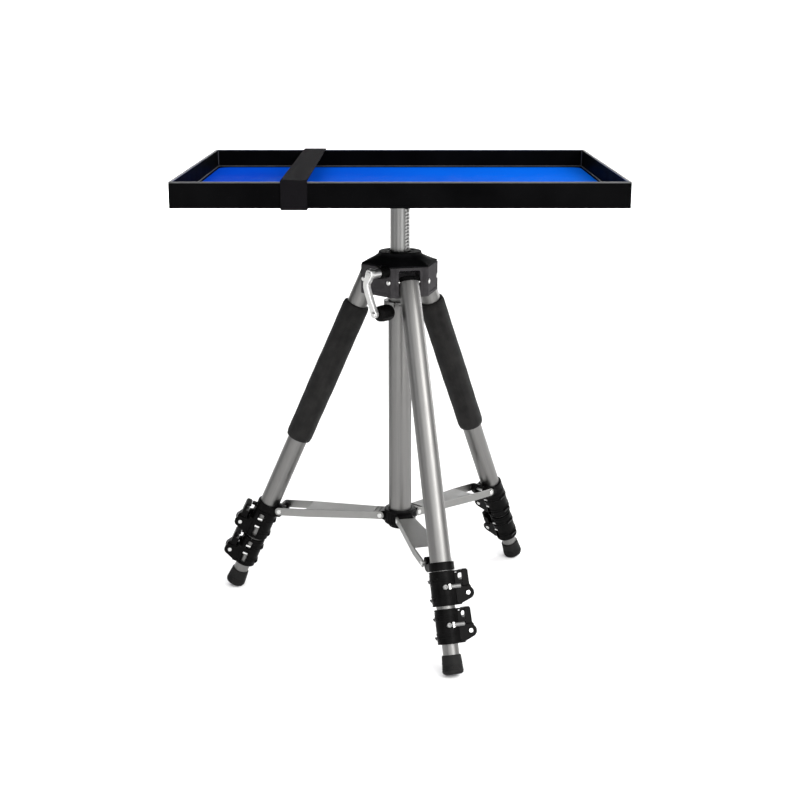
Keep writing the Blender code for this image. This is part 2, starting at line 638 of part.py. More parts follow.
for name, azimuth, lock_turn in zip(LEG_NAMES, LEG_AZIMUTHS, LOCK_TURNS):
    leg = empty(f"leg_axis_{name}", metres(leg_frame(azimuth)), stand)
    tube = drilled(sleeve(UPPER_R, UPPER_R - WALL, -UPPER_END, -TUBE_TOP))
    piece(f"upper_tube_{name}", tube, "tube", leg)
    if name != "front":
        foam = turned(
            [(UPPER_R + GAP, -GRIP_S1), (GRIP_R - 3.0, -GRIP_S1), (GRIP_R - 0.8, -GRIP_S1 + 1.2), (GRIP_R, -GRIP_S1 + 4),
             (GRIP_R, -GRIP_S0 - 3), (GRIP_R - 0.8, -GRIP_S0 - 0.8), (GRIP_R - 2.2, -GRIP_S0), (UPPER_R + GAP, -GRIP_S0)]
        )
        piece(f"foam_grip_{name}", foam, "foam", leg)
    piece(f"brace_collar_{name}", collar_shape(), "plastic", leg)
    pin = rod((-PIN_X, -15.6, -PIN_S), (-PIN_X, 15.6, -PIN_S), 2.0, 12)
    piece(f"brace_pin_{name}", pin, "steel", leg)
    turn = Matrix.Rotation(radians(lock_turn), 4, "Z")
    for level, top, radius, pivot, size, inner, end in (
        ("upper", LOCK1_S, LOCK1_R, LOCK1_PIVOT, UPPER_R, MID_R, UPPER_END),
        ("lower", LOCK2_S, LOCK2_R, LOCK2_PIVOT, MID_R, LOWER_R, MID_END),
    ):
        clamp = lock_shape(top, radius, pivot, size, inner, end)
        clamp.transform(turn)
        piece(f"lock_{level}_{name}", clamp, "plastic", leg)
        at = turn @ Matrix.Translation((0, pivot, -top - LOCK_PIVOT_DROP))
        hinge = empty(f"lever_axis_{level}_{name}", metres(at), leg)
        piece(f"lever_{level}_{name}", lever_shape(), "plastic", hinge)
    piece(f"mid_tube_{name}", sleeve(MID_R, MID_R - WALL, -MID_END, -MID_TOP), "tube", leg)
    piece(f"lower_tube_{name}", sleeve(LOWER_R, LOWER_R - WALL, -LOWER_END, -LOWER_TOP), "tube", leg)
    piece(f"foot_{name}", foot_shape(), "rubber", leg)

bpy.context.view_layer.update()
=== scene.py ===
from math import asin, atan2, ceil, cos, degrees, pi, radians, sin, sqrt, tan

import bmesh
import bpy
import numpy as np
from mathutils import Matrix, Vector


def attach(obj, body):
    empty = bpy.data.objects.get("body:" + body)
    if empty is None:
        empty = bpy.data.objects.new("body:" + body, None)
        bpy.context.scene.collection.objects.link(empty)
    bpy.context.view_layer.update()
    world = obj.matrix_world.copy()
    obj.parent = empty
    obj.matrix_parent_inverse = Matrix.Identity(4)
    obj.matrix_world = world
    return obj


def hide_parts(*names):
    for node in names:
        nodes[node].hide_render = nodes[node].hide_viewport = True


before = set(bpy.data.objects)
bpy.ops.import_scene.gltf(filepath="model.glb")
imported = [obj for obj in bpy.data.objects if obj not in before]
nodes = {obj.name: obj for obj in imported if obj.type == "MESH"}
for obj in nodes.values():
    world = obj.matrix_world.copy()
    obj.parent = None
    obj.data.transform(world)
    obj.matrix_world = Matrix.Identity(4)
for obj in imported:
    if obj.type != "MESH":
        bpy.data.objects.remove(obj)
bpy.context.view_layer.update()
scene = bpy.context.scene

# ---------------------------------------------------------------- dimensions (mm), as in the CAD
GAP = 0.3
COLUMN_Y = 13.824
LEG_NAMES = ("front", "right", "left")
LEG_AZIMUTHS = (-74.4, 45.6, 165.6)
LOCK_TURNS = (0.0, 0.0, -75.0)
LEG_ANGLE = 24.1
HINGE_R = 38.0
UPPER_R, MID_R, LOWER_R, WALL = 12.25, 10.75, 9.3, 1.15
TUBE_TOP = -5.0
UPPER_END, MID_TOP, MID_END, LOWER_TOP, LOWER_END = 352.0, 72.0, 394.0, 110.0, 436.0
GRIP_R, GRIP_S0, GRIP_S1 = 16.4, 38.0, 229.0
COLLAR_R, COLLAR_S0, COLLAR_S1 = 14.8, 327.0, 336.6
LOCK_LENGTH = 39.0
LOCK1_S, LOCK1_R, LOCK1_PIVOT = 337.2, 14.9, 25.5
LOCK2_S, LOCK2_R, LOCK2_PIVOT = 379.6, 13.8, 23.6
LOCK_PIVOT_DROP = 26.6
FOOT_PROFILE = (
    (0.0, 452.6), (9.4, 452.3), (11.4, 451.0), (12.3, 448.6), (11.6, 440.0), (10.8, 430.6)
)
PIN_S, PIN_X = 325.0, 18.7
HUB_R, HUB_PIN_R, HUB_HALF = 19.5, 23.4, 9.0
BRACE_TILT = 2.0
BRACE_HALF, BRACE_SHEET, BRACE_DEPTH, EAR_HALF = 11.0, 1.5, 5.0, 17.4
FORK = 36.0
HEX_LEG_FACE, HEX_LEG_HALF = 42.0, 22.6
HEAD_Z0, HEAD_Z1, CAP_Z1, CAP_Z2 = 399.2, 434.0, 443.4, 448.2
SOCKET_HALF, SOCKET_IN, SOCKET_TOP = 13.0, 22.5, 430.6
HINGE_PIN_R, HINGE_PIN_HALF = 2.8, 25.0
CENTRE_TUBE_R, CENTRE_TUBE_Z0, CENTRE_TUBE_Z1 = 14.0, 106.0, 413.0
COLUMN_R, COLUMN_Z0, COLUMN_Z1 = 11.8, 190.0, 514.8
RACK_AZIMUTH = -44.4
TOOTH_PITCH, PINION_TEETH, ADDENDUM, DEDENDUM = 4.0, 10, 0.9, 1.1
RACK_PITCH_R, RACK_HALF = 11.0, 2.5
SHAFT_Z, SHAFT_R = 429.6, 3.5
TRAY_W, TRAY_D, TRAY_Z0, TRAY_Z1, TRAY_WALL = 480.0, 390.0, 522.3, 549.9, 3.0
MAT_THICK = 2.0
STRAP_X, STRAP_HALF, STRAP_THICK = -110.0, 14.0, 1.5
PINION_R = TOOTH_PITCH * PINION_TEETH / (2 * pi)
SHAFT_OFFSET = RACK_PITCH_R + PINION_R
GRIP_X, GRIP_Y = -8.0, -46.0
HINGE_Z = max(
    r * sin(radians(LEG_ANGLE)) + s * cos(radians(LEG_ANGLE)) for r, s in FOOT_PROFILE
)
a0 = radians(LEG_ANGLE)
REST_PIN_R = HINGE_R + PIN_S * sin(a0) - PIN_X * cos(a0)
REST_PIN_Z = HINGE_Z - PIN_S * cos(a0) - PIN_X * sin(a0)
BRACE_LENGTH = (REST_PIN_R - HUB_PIN_R) / cos(radians(BRACE_TILT))
HUB_Z = REST_PIN_Z + BRACE_LENGTH * sin(radians(BRACE_TILT))

# ---------------------------------------------------------------- materials


class Graph:
    """Small helper that wires shader nodes."""

    def __init__(self, name, colour, roughness, metallic=0.0, **fixed):
        self.made = bpy.data.materials.new(name)
        self.made.use_nodes = True
        self.tree = self.made.node_tree
        self.shader = self.tree.nodes["Principled BSDF"]
        self.set("Base Color", (*colour, 1.0))
        self.set("Roughness", roughness)
        self.set("Metallic", metallic)
        for key, value in fixed.items():
            self.set(key.replace("_", " "), value)
        self.made.diffuse_color = (*colour, 1.0)
        self.coords = None

    def set(self, socket, value):
        self.shader.inputs[socket].default_value = value

    def node(self, kind, **values):
        made = self.tree.nodes.new(kind)
        for key, value in values.items():
            if hasattr(made, key):
                setattr(made, key, value)
            else:
                made.inputs[key.replace("_", " ")].default_value = value
        return made

    def link(self, a, b):
        self.tree.links.new(a, b)

    def where(self, scale=(1, 1, 1), rotation=(0, 0, 0), source="Object"):
        """Coordinates in metres in the piece's own frame, stretched by scale."""
        if self.coords is None:
            self.coords = self.node("ShaderNodeTexCoord")
        mapping = self.node("ShaderNodeMapping")
        mapping.inputs["Scale"].default_value = scale
        mapping.inputs["Rotation"].default_value = rotation
        self.link(self.coords.outputs[source], mapping.inputs["Vector"])
        return mapping.outputs["Vector"]

    def noise(self, scale, detail=2.0, rough=0.5, stretch=(1, 1, 1), rotation=(0, 0, 0), source="Object"):
        made = self.node("ShaderNodeTexNoise")
        made.inputs["Scale"].default_value = scale
        made.inputs["Detail"].default_value = detail
        made.inputs["Roughness"].default_value = rough
        self.link(self.where(stretch, rotation, source), made.inputs["Vector"])
        return made.outputs["Fac"]

    def span(self, value, low, high, frm=(0.0, 1.0)):
        made = self.node("ShaderNodeMapRange")
        made.inputs["From Min"].default_value, made.inputs["From Max"].default_value = frm
        made.inputs["To Min"].default_value, made.inputs["To Max"].default_value = low, high
        self.link(value, made.inputs["Value"])
        return made.outputs["Result"]

    def blend(self, factor, a, b):
        made = self.node("ShaderNodeMix")
        made.data_type = "RGBA"
        self.link(factor, made.inputs["Factor"])
        for value, socket in ((a, made.inputs[6]), (b, made.inputs[7])):
            if isinstance(value, tuple):
                socket.default_value = (*value, 1.0)
            else:
                self.link(value, socket)
        return made.outputs[2]

    def math(self, operation, a, b=None):
        made = self.node("ShaderNodeMath")
        made.operation = operation
        for value, socket in zip((a, b), made.inputs):
            if value is None:
                continue
            if isinstance(value, (int, float)):
                socket.default_value = value
            else:
                self.link(value, socket)
        return made.outputs[0]

    def bump(self, height, distance, strength=1.0, after=None):
        made = self.node("ShaderNodeBump")
        made.inputs["Strength"].default_value = strength
        made.inputs["Distance"].default_value = distance
        self.link(height, made.inputs["Height"])
        if after is not None:
            self.link(after, made.inputs["Normal"])
        return made.outputs["Normal"]

    def to(self, value, socket):
        self.link(value, self.shader.inputs[socket])


def drawn_metal(name, colour, roughness, stretch=(900, 900, 14), **fixed):
    """Drawn and anodised aluminium: fine lines along Z, a faint cloud in tone and gloss."""
    g = Graph(name, colour, roughness, 1.0, **fixed)
    lines = g.noise(1.0, 3.0, 0.6, stretch)
    cloud = g.noise(22.0, 2.0, 0.5)
    dark = tuple(c * 0.9 for c in colour)
    light = tuple(min(1.0, c * 1.06) for c in colour)
    g.to(g.blend(g.span(lines, 0.0, 1.0, (0.3, 0.7)), dark, light), "Base Color")
    gloss = g.math("ADD", g.span(lines, -0.05, 0.05, (0.3, 0.7)), g.span(cloud, roughness - 0.03, roughness + 0.05, (0.3, 0.7)))
    g.to(gloss, "Roughness")
    g.to(g.bump(lines, 0.00002, 0.35), "Normal")
    return g.made


def cast_metal(name, colour, roughness, grain=900.0, depth=0.00004):
    g = Graph(name, colour, roughness, 1.0)
    fine = g.noise(grain, 4.0, 0.6)
    cloud = g.noise(60.0, 3.0, 0.5)
    g.to(g.blend(g.span(cloud, 0.0, 1.0, (0.3, 0.7)), tuple(c * 0.92 for c in colour), tuple(min(1.0, c * 1.04) for c in colour)), "Base Color")
    g.to(g.span(cloud, roughness - 0.05, roughness + 0.08, (0.3, 0.7)), "Roughness")
    g.to(g.bump(fine, depth, 0.4), "Normal")
    return g.made


def moulded(name, colour, roughness, grain=1400.0, depth=0.00006, specular=0.5, coat=0.0, ior=1.5):
    """Moulded plastic: spark-eroded grain, slightly uneven gloss, handling marks."""
    g = Graph(name, colour, roughness, 0.0, Specular_IOR_Level=specular, Coat_Weight=coat, Coat_Roughness=0.18, IOR=ior)
    fine = g.noise(grain, 3.0, 0.55)
    cloud = g.noise(90.0, 3.0, 0.6)
    marks = g.noise(35.0, 5.0, 0.7)
    tone = g.blend(g.span(cloud, 0.0, 1.0, (0.35, 0.7)), tuple(c * 0.85 for c in colour), tuple(c * 1.3 + 0.0008 for c in colour))
    g.to(tone, "Base Color")
    g.to(g.math("ADD", g.span(cloud, roughness - 0.05, roughness + 0.05, (0.3, 0.7)), g.span(marks, 0.0, 0.08, (0.55, 0.75))), "Roughness")
    g.to(g.bump(fine, depth, 0.5), "Normal")
    return g.made


def foam_skin():
    g = Graph("foam", (0.012, 0.0115, 0.0115), 0.86, 0.0, Sheen_Weight=0.05, Sheen_Roughness=0.5, Specular_IOR_Level=0.15)
    pores = g.node("ShaderNodeTexVoronoi")
    pores.feature = "F1"
    pores.inputs["Scale"].default_value = 1150.0
    g.link(g.where(), pores.inputs["Vector"])
    pore_depth_and_shade = g.span(pores.outputs["Distance"], 0.0, 1.0, (0.05, 0.55))
    soft = g.noise(70.0, 4.0, 0.55)
    long_marks = g.noise(1.0, 3.0, 0.5, (160, 160, 12))
    tone = g.blend(g.span(soft, 0.0, 1.0, (0.35, 0.7)), (0.0064, 0.0062, 0.0062), (0.0135, 0.0128, 0.0124))
    # painted shade: the pore hollows are coloured darker than the skin round them
    g.to(g.blend(pore_depth_and_shade, (0.003, 0.003, 0.003), tone), "Base Color")
    g.to(g.span(long_marks, 0.78, 0.95, (0.35, 0.65)), "Roughness")
    first = g.bump(pore_depth_and_shade, 0.00012, 0.55)
    g.to(g.bump(soft, 0.0008, 0.25, first), "Normal")
    return g.made


def rubber_skin():
    g = Graph("rubber", (0.005, 0.005, 0.005), 0.62, 0.0, Specular_IOR_Level=0.14)
    fine = g.noise(700.0, 3.0, 0.6)
    dust = g.noise(60.0, 4.0, 0.65)
    g.to(g.blend(g.span(dust, 0.0, 1.0, (0.45, 0.75)), (0.004, 0.004, 0.004), (0.011, 0.0105, 0.010)), "Base Color")
    g.to(g.span(dust, 0.55, 0.78, (0.3, 0.7)), "Roughness")
    g.to(g.bump(fine, 0.0001, 0.5), "Normal")
    return g.made


def tray_skin(name="tray", low=(0.0012, 0.0012, 0.0013), high=(0.0026, 0.0026, 0.0028)):
    """Black pebbled finish of the tray."""
    g = Graph(name, (0.002, 0.002, 0.002), 0.42, 0.0, Specular_IOR_Level=0.03, IOR=1.1)
    cells = g.node("ShaderNodeTexVoronoi")
    cells.feature = "SMOOTH_F1"
    cells.inputs["Scale"].default_value = 900.0
    g.link(g.where(), cells.inputs["Vector"])
    pebble = g.span(cells.outputs["Distance"], 0.0, 1.0, (0.0, 0.7))
    cloud = g.noise(14.0, 4.0, 0.6)
    g.to(g.blend(g.span(cloud, 0.0, 1.0, (0.3, 0.7)), low, high), "Base Color")
    g.to(g.span(cloud, 0.38, 0.52, (0.3, 0.7)), "Roughness")
    g.to(g.bump(pebble, 0.00008, 0.5), "Normal")
    return g.made


def mat_skin():
    """Blue mat: close nap; painted light makes the blue lighter towards +X, the right, where more light falls."""
    g = Graph("mat", (0.006, 0.09, 0.72), 0.55, 0.0, Sheen_Weight=0.0, Specular_IOR_Level=0.02, IOR=1.15)
    split = g.node("ShaderNodeSeparateXYZ")
    g.link(g.where(), split.inputs["Vector"])
    # painted light: the blue is lighter towards +X, the right side
    across = g.span(split.outputs["X"], 0.0, 1.0, (-0.24, 0.24))
    cloud = g.noise(9.0, 4.0, 0.6)
    painted_light_and_cloud = g.math("ADD", across, g.span(cloud, -0.14, 0.14, (0.3, 0.7)))
    tone = g.blend(painted_light_and_cloud, (0.0006, 0.040, 0.40), (0.001, 0.115, 0.62))
    pile = g.noise(2200.0, 2.0, 0.6)
    g.to(g.blend(g.span(pile, 0.0, 0.35, (0.35, 0.7)), tone, (0.001, 0.034, 0.38)), "Base Color")
    g.to(g.span(cloud, 0.50, 0.62, (0.3, 0.7)), "Roughness")
    g.to(g.bump(pile, 0.00012, 0.45), "Normal")
    return g.made


def webbing(name, colour, light, pitch=0.0011):
    """Woven webbing: rows of small warp bars in a herringbone. UV is in metres."""
    g = Graph(name, colour, 0.72, 0.0, Sheen_Weight=0.0, Specular_IOR_Level=0.05, IOR=1.2)
    split = g.node("ShaderNodeSeparateXYZ")
    g.link(g.where((1 / pitch, 1 / pitch, 1), source="UV"), split.inputs["Vector"])
    u, v = split.outputs["X"], split.outputs["Y"]
    # zig-zag: the slant turns round every four ribs
    tri = g.math("PINGPONG", u, 4.0)
    along = g.math("ADD", v, g.math("MULTIPLY", tri, 0.5))
    rib = g.math("ABSOLUTE", g.math("SINE", g.math("MULTIPLY", u, pi)))
    pick = g.math("ABSOLUTE", g.math("SINE", g.math("MULTIPLY", along, pi)))
    height = g.math("MULTIPLY", g.math("POWER", rib, 0.6), g.math("POWER", pick, 0.5))
    fuzz = g.noise(2600.0, 2.0, 0.6)
    # painted shade: the hollows of the weave are coloured darker, the rib tops lighter
    tone = g.blend(g.span(height, 0.0, 1.0, (0.15, 0.95)), tuple(c * 0.3 for c in colour), light)
    g.to(tone, "Base Color")
    g.to(g.span(fuzz, 0.62, 0.84, (0.3, 0.7)), "Roughness")
    first = g.bump(height, 0.00028, 0.8)
    g.to(g.bump(fuzz, 0.00008, 0.35, first), "Normal")
    return g.made


MATERIALS = {
    "tube": drawn_metal("tube", (0.168, 0.166, 0.162), 0.38, Anisotropic=0.2),
    "column": drawn_metal("column", (0.150, 0.150, 0.147), 0.31, Anisotropic=0.2),
    "head": moulded("head", (0.038, 0.036, 0.038), 0.48, 1600.0, 0.00005, 0.2, ior=1.07),
    "cap": moulded("cap", (0.0042, 0.0042, 0.0047), 0.5, 1800.0, 0.00003, 0.2, ior=1.1),
    "plastic": moulded("plastic", (0.0017, 0.0016, 0.0016), 0.36, specular=0.2, ior=1.2),
    "rubber": rubber_skin(),
    "foam": foam_skin(),
    "brace": cast_metal("brace", (0.23, 0.23, 0.223), 0.42, 1500.0, 0.00005),
    "steel": cast_metal("steel", (0.56, 0.56, 0.55), 0.30, 1200.0, 0.00002),
    "bolt": cast_metal("bolt", (0.17, 0.17, 0.168), 0.5, 1200.0, 0.00004),
    "crank": cast_metal("crank", (0.60, 0.60, 0.59), 0.32, 700.0, 0.00005),
    "tray": tray_skin(),
    # painted highlight: the lighter grey of the band along the top of the tray walls
    "rim": moulded("rim", (0.050, 0.050, 0.052), 0.40, 1600.0, 0.00004, 0.3),
    # painted highlight: the lighter grey of the beads along the inner edges of the tray
    "edge_highlight": moulded("edge_highlight", (0.034, 0.034, 0.036), 0.45, 1600.0, 0.00004, 0.2),
    "mat": mat_skin(),
    "strap": webbing("strap", (0.0030, 0.0028, 0.0032), (0.0088, 0.0081, 0.0094)),
}

# ---------------------------------------------------------------- shape helpers


def turned(profile, steps=48, closed=True):
    bm = bmesh.new()
    verts = [bm.verts.new((r, 0.0, z)) for r, z in profile]
    for a, b in zip(verts, verts[1:]):
        bm.edges.new((a, b))
    if closed:
        bm.edges.new((verts[-1], verts[0]))
    bmesh.ops.spin(
        bm, geom=bm.verts[:] + bm.edges[:], axis=(0, 0, 1), cent=(0, 0, 0),
        dvec=(0, 0, 0), angle=2 * pi, steps=steps, use_duplicate=False,
    )
    bmesh.ops.remove_doubles(bm, verts=bm.verts[:], dist=1e-4)
    bmesh.ops.recalc_face_normals(bm, faces=bm.faces[:])
    return bm


def fillet(points, radius, steps=3, closed=True):
    """Rounds the corners of an outline; radius may be one number or one for each corner."""
    out, n = [], len(points)
    for i in range(n):
        p = Vector(points[i][:2])
        r = radius[i] if isinstance(radius, (list, tuple)) else radius
        if r <= 0 or (not closed and i in (0, n - 1)):
            out.append(tuple(p))
            continue
        a, b = Vector(points[i - 1][:2]) - p, Vector(points[(i + 1) % n][:2]) - p
        la, lb = a.length, b.length
        if la < 1e-6 or lb < 1e-6:
            out.append(tuple(p))
            continue
        a.normalize()
        b.normalize()
        half = a.angle(b) / 2
        if half > radians(84) or half < radians(3):
            out.append(tuple(p))
            continue
        t = min(r / tan(half), la * 0.48, lb * 0.48)
        rr = t * tan(half)
        c = p + (a + b).normalized() * (rr / sin(half))
        s, e = p + a * t - c, p + b * t - c
        s0, e0 = atan2(s.y, s.x), atan2(e.y, e.x)
        turn = (e0 - s0 + pi) % (2 * pi) - pi
        for k in range(steps + 1):
            w = s0 + turn * k / steps
            out.append((c.x + rr * cos(w), c.y + rr * sin(w)))
    return out


def sleeve(r_out, r_in, z0, z1, lip=0.4, steps=64):
    profile = [(r_in, z0), (r_out, z0), (r_out, z1), (r_in, z1)]
    return turned(fillet(profile, lip, 3), steps)


def area_of(outline):
    return sum(a[0] * b[1] - b[0] * a[1] for a, b in zip(outline, outline[1:] + outline[:1])) / 2


def inset(outline, amount):
    """Outline moved inward by amount along its corner bisectors."""
    sign = 1 if area_of(outline) > 0 else -1
    out, n = [], len(outline)
    for i in range(n):
        p, a, b = Vector(outline[i]), Vector(outline[i - 1]), Vector(outline[(i + 1) % n])
        u, v = (p - a), (b - p)
        if u.length < 1e-7 or v.length < 1e-7:
            out.append(tuple(p))
            continue
        u.normalize()
        v.normalize()
        nu, nv = Vector((-u.y, u.x)) * sign, Vector((-v.y, v.x)) * sign
        m = nu + nv
        if m.length < 1e-5:
            out.append(tuple(p + nu * amount))
            continue
        m.normalize()
        out.append(tuple(p + m * (amount / max(0.35, m.dot(nu)))))
    return out


def prism(outline, low, high, frame_=None, chamfer=0.0, rounds=2):
    """Outline drawn out along Z; chamfer rounds both end edges."""
    bm = bmesh.new()
    rings = []
    if chamfer:
        for k in range(rounds + 1):
            w = pi / 2 * k / rounds
            rings.append((inset(outline, chamfer * (1 - sin(w))), low + chamfer * (1 - cos(w))))
        for k in range(rounds + 1):
            w = pi / 2 * (1 - k / rounds)
            rings.append((inset(outline, chamfer * (1 - sin(w))), high - chamfer * (1 - cos(w))))
    else:
        rings = [(outline, low), (outline, high)]
    loops = [[bm.verts.new((x, y, z)) for x, y in o] for o, z in rings]
    for a, b in zip(loops, loops[1:]):
        for i in range(len(a)):
            j = (i + 1) % len(a)
            bm.faces.new((a[i], a[j], b[j], b[i]))
    bm.faces.new(loops[0][::-1])
    bm.faces.new(loops[-1])
    if frame_ is not None:
        bm.transform(frame_)
    bmesh.ops.recalc_face_normals(bm, faces=bm.faces[:])
    return bm


def block(x, y, z):
    return prism([(x[0], y[0]), (x[1], y[0]), (x[1], y[1]), (x[0], y[1])], z[0], z[1])


def rod(start, end, radius, steps=32, chamfer=0.0):
    start, end = Vector(start), Vector(end)
    along = end - start
    length = along.length
    c = chamfer
    if c:
        profile = [(0, 0), (radius - c, 0), (radius - c * 0.3, c * 0.3), (radius, c), (radius, length - c),
                   (radius - c * 0.3, length - c * 0.3), (radius - c, length), (0, length)]
    else:
        profile = [(0, 0), (radius, 0), (radius, length), (0, length)]
    bm = turned(profile, steps, closed=False)
    turn = along.to_track_quat("Z", "Y").to_matrix().to_4x4()
    bm.transform(Matrix.Translation(start) @ turn)
    return bm


def arc(cx, cy, r, b0, b1, steps):
    return [
        (cx + r * cos(radians(b0 + (b1 - b0) * i / steps)), cy + r * sin(radians(b0 + (b1 - b0) * i / steps)))
        for i in range(steps + 1)
    ]


def add(bm, other):
    """Puts the second shape's mesh beside the first's, with no Boolean."""
    mesh = bpy.data.meshes.new("work")
    other.to_mesh(mesh)
    other.free()
    bm.from_mesh(mesh)
    bpy.data.meshes.remove(mesh)
    return bm


def loose(bm, name):
    mesh = bpy.data.meshes.new(name)
    bm.to_mesh(mesh)
    bm.free()
    made = bpy.data.objects.new(name, mesh)
    scene.collection.objects.link(made)
    return made


def join(bm, other, operation="UNION"):
    body, tool = loose(bm, "work_body"), loose(other, "work_tool")
    step = body.modifiers.new("Boolean", "BOOLEAN")
    step.operation = operation
    step.solver = "EXACT"
    step.object = tool
    bpy.context.view_layer.update()
    graph = bpy.context.evaluated_depsgraph_get()
    mesh = bpy.data.meshes.new_from_object(body.evaluated_get(graph))
    result = bmesh.new()
    result.from_mesh(mesh)
    for used in (body, tool):
        data = used.data
        bpy.data.objects.remove(used, do_unlink=True)
        bpy.data.meshes.remove(data)
    bpy.data.meshes.remove(mesh)
    bmesh.ops.remove_doubles(result, verts=result.verts[:], dist=1e-3)
    bmesh.ops.dissolve_degenerate(result, edges=result.edges[:], dist=1e-3)
    return result


def cut(bm, other):
    return join(bm, other, "DIFFERENCE")


ALONG_Y = Matrix(((1, 0, 0, 0), (0, 0, -1, 0), (0, 1, 0, 0), (0, 0, 0, 1)))
ALONG_X = Matrix(((0, 0, 1, 0), (1, 0, 0, 0), (0, 1, 0, 0), (0, 0, 0, 1)))
Identity = Matrix.Identity(4)


def metres(m):
    out = m.copy()
    out.translation = m.translation * 0.001
    return out


def piece(name, bm, look, body, at=Identity, stands_for=(), sharp=32.0, weighted=True):
    """A finished piece from a shape in millimetres, placed by the frame at, riding on body."""
    bmesh.ops.scale(bm, vec=(0.001, 0.001, 0.001), verts=bm.verts[:])
    made = loose(bm, name)
    mesh = made.data
    mesh.shade_smooth()
    mesh.set_sharp_from_angle(angle=radians(sharp))
    mesh.materials.append(MATERIALS[look])
    made.matrix_world = metres(at)
    if weighted:
        step = made.modifiers.new("Weighted Normal", "WEIGHTED_NORMAL")
        step.keep_sharp = True
        step.weight = 60
    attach(made, body)
    if stands_for:
        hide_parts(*stands_for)
    return made


STAND = Matrix.Translation((0, COLUMN_Y, 0))


def leg_frame(azimuth):
    return (
        STAND @ Matrix.Rotation(radians(azimuth), 4, "Z")
        @ Matrix.Translation((HINGE_R, 0, HINGE_Z))
        @ Matrix.Rotation(-radians(LEG_ANGLE), 4, "Y")
    )


out = radians(RACK_AZIMUTH)
shaft_dir = Vector((sin(out), -cos(out), 0))
w_dir = Vector((cos(out), sin(out), 0))
crank_frame = STAND @ Matrix.Translation((SHAFT_OFFSET * cos(out), SHAFT_OFFSET * sin(out), SHAFT_Z)) @ Matrix(
    ((-cos(out), 0, -shaft_dir.x, 0), (-sin(out), 0, -shaft_dir.y, 0), (0, 1, 0, 0), (0, 0, 0, 1))
)


def along_shaft(t, lift=0.0, side=0.0):
    return w_dir * (SHAFT_OFFSET + side) + shaft_dir * t + Vector((0, 0, SHAFT_Z + lift))


# ---------------------------------------------------------------- head


def hexagon(scale=1.0):
    points = []
    for azimuth in LEG_AZIMUTHS:
        a = radians(azimuth)
        for side in (-1, 1):
            x, y = HEX_LEG_FACE * scale, side * HEX_LEG_HALF * scale
            points.append((x * cos(a) - y * sin(a), x * sin(a) + y * cos(a)))
    return points


housing = prism(fillet(hexagon(), 2.2, 5), HEAD_Z0, HEAD_Z1, chamfer=0.7)
boss = turned(fillet([(0, 393.6), (19.5, 393.6), (19.5, 402), (0, 402)], [0, 0.9, 0, 0], 3, closed=False), 64, closed=False)
housing = join(housing, boss)
# a socket and a hinge-pin hole for each leg
for azimuth in LEG_AZIMUTHS:
    turn = Matrix.Rotation(radians(azimuth), 4, "Z")
    slot_cut = prism(fillet([(-SOCKET_HALF, 380), (SOCKET_HALF, 380), (SOCKET_HALF, SOCKET_TOP), (-SOCKET_HALF, SOCKET_TOP)], [0, 0, 2.0, 2.0], 4), SOCKET_IN, 70, ALONG_X)
    slot_cut.transform(turn)
    housing = cut(housing, slot_cut)
    hole = rod((HINGE_R, -40, HINGE_Z), (HINGE_R, 40, HINGE_Z), HINGE_PIN_R + GAP, 24)
    hole.transform(turn)
    housing = cut(housing, hole)
    # moulded grooves at both sides of the socket
    for side in (-1, 1):
        groove = block((HEX_LEG_FACE - 0.5, 70), sorted((side * 16.6, side * 17.3)), (401.5, 431.2))
        groove.transform(turn)
        housing = cut(housing, groove)
# shallow panels on the three faces between the legs
for azimuth in (-14.4, 105.6, 225.6):
    turn = Matrix.Rotation(radians(azimuth), 4, "Z")
    panel = prism(fillet([(-19, 403), (19, 403), (19, 407.4), (-19, 407.4)], 1.0, 3), 40.0, 60, ALONG_X)
    panel.transform(turn)
    housing = cut(housing, panel)
seat = CENTRE_TUBE_Z1 + GAP
housing = cut(housing, turned([(0, 380), (CENTRE_TUBE_R + GAP, 380), (CENTRE_TUBE_R + GAP, seat), (12.3, seat), (12.3, 440), (0, 440)], 48, closed=False))
housing = cut(housing, rod(along_shaft(-3.2), along_shaft(3.2), 8.0, 32))
housing = cut(housing, rod(along_shaft(0), along_shaft(60), SHAFT_R + 0.4, 24))
piece("head_housing", housing, "head", "head", STAND, ["shoulder_housing"], sharp=28)

corners = [Vector((x, y, 0)) for x, y in hexagon(0.985)]


def on_hexagon(angle):
    way = Vector((cos(angle), sin(angle), 0))
    for a, b in zip(corners, corners[1:] + corners[:1]):
        side = b - a
        det = way.x * -side.y + side.x * way.y
        if abs(det) < 1e-9:
            continue
        r = (a.x * -side.y + side.x * a.y) / det
        t = (way.x * a.y - way.y * a.x) / det
        if r > 0 and -1e-6 <= t <= 1 + 1e-6:
            return way * r


corner_angles = sorted(atan2(c.y, c.x) for c in corners)
angles = []
for i, a in enumerate(corner_angles):
    b = corner_angles[(i + 1) % 6] + (2 * pi if i == 5 else 0)
    steps = 10 if b - a < radians(62) else 12
    angles += [a + (b - a) * k / steps for k in range(steps)]
cap = bmesh.new()
rings = []
layers = [("round", 12.6, HEAD_Z1 + GAP), ("hexagon", 0.985, HEAD_Z1 + GAP), ("hexagon", 1.0, HEAD_Z1 + GAP + 0.5), ("hexagon", 1.0, HEAD_Z1 + 1.6)]
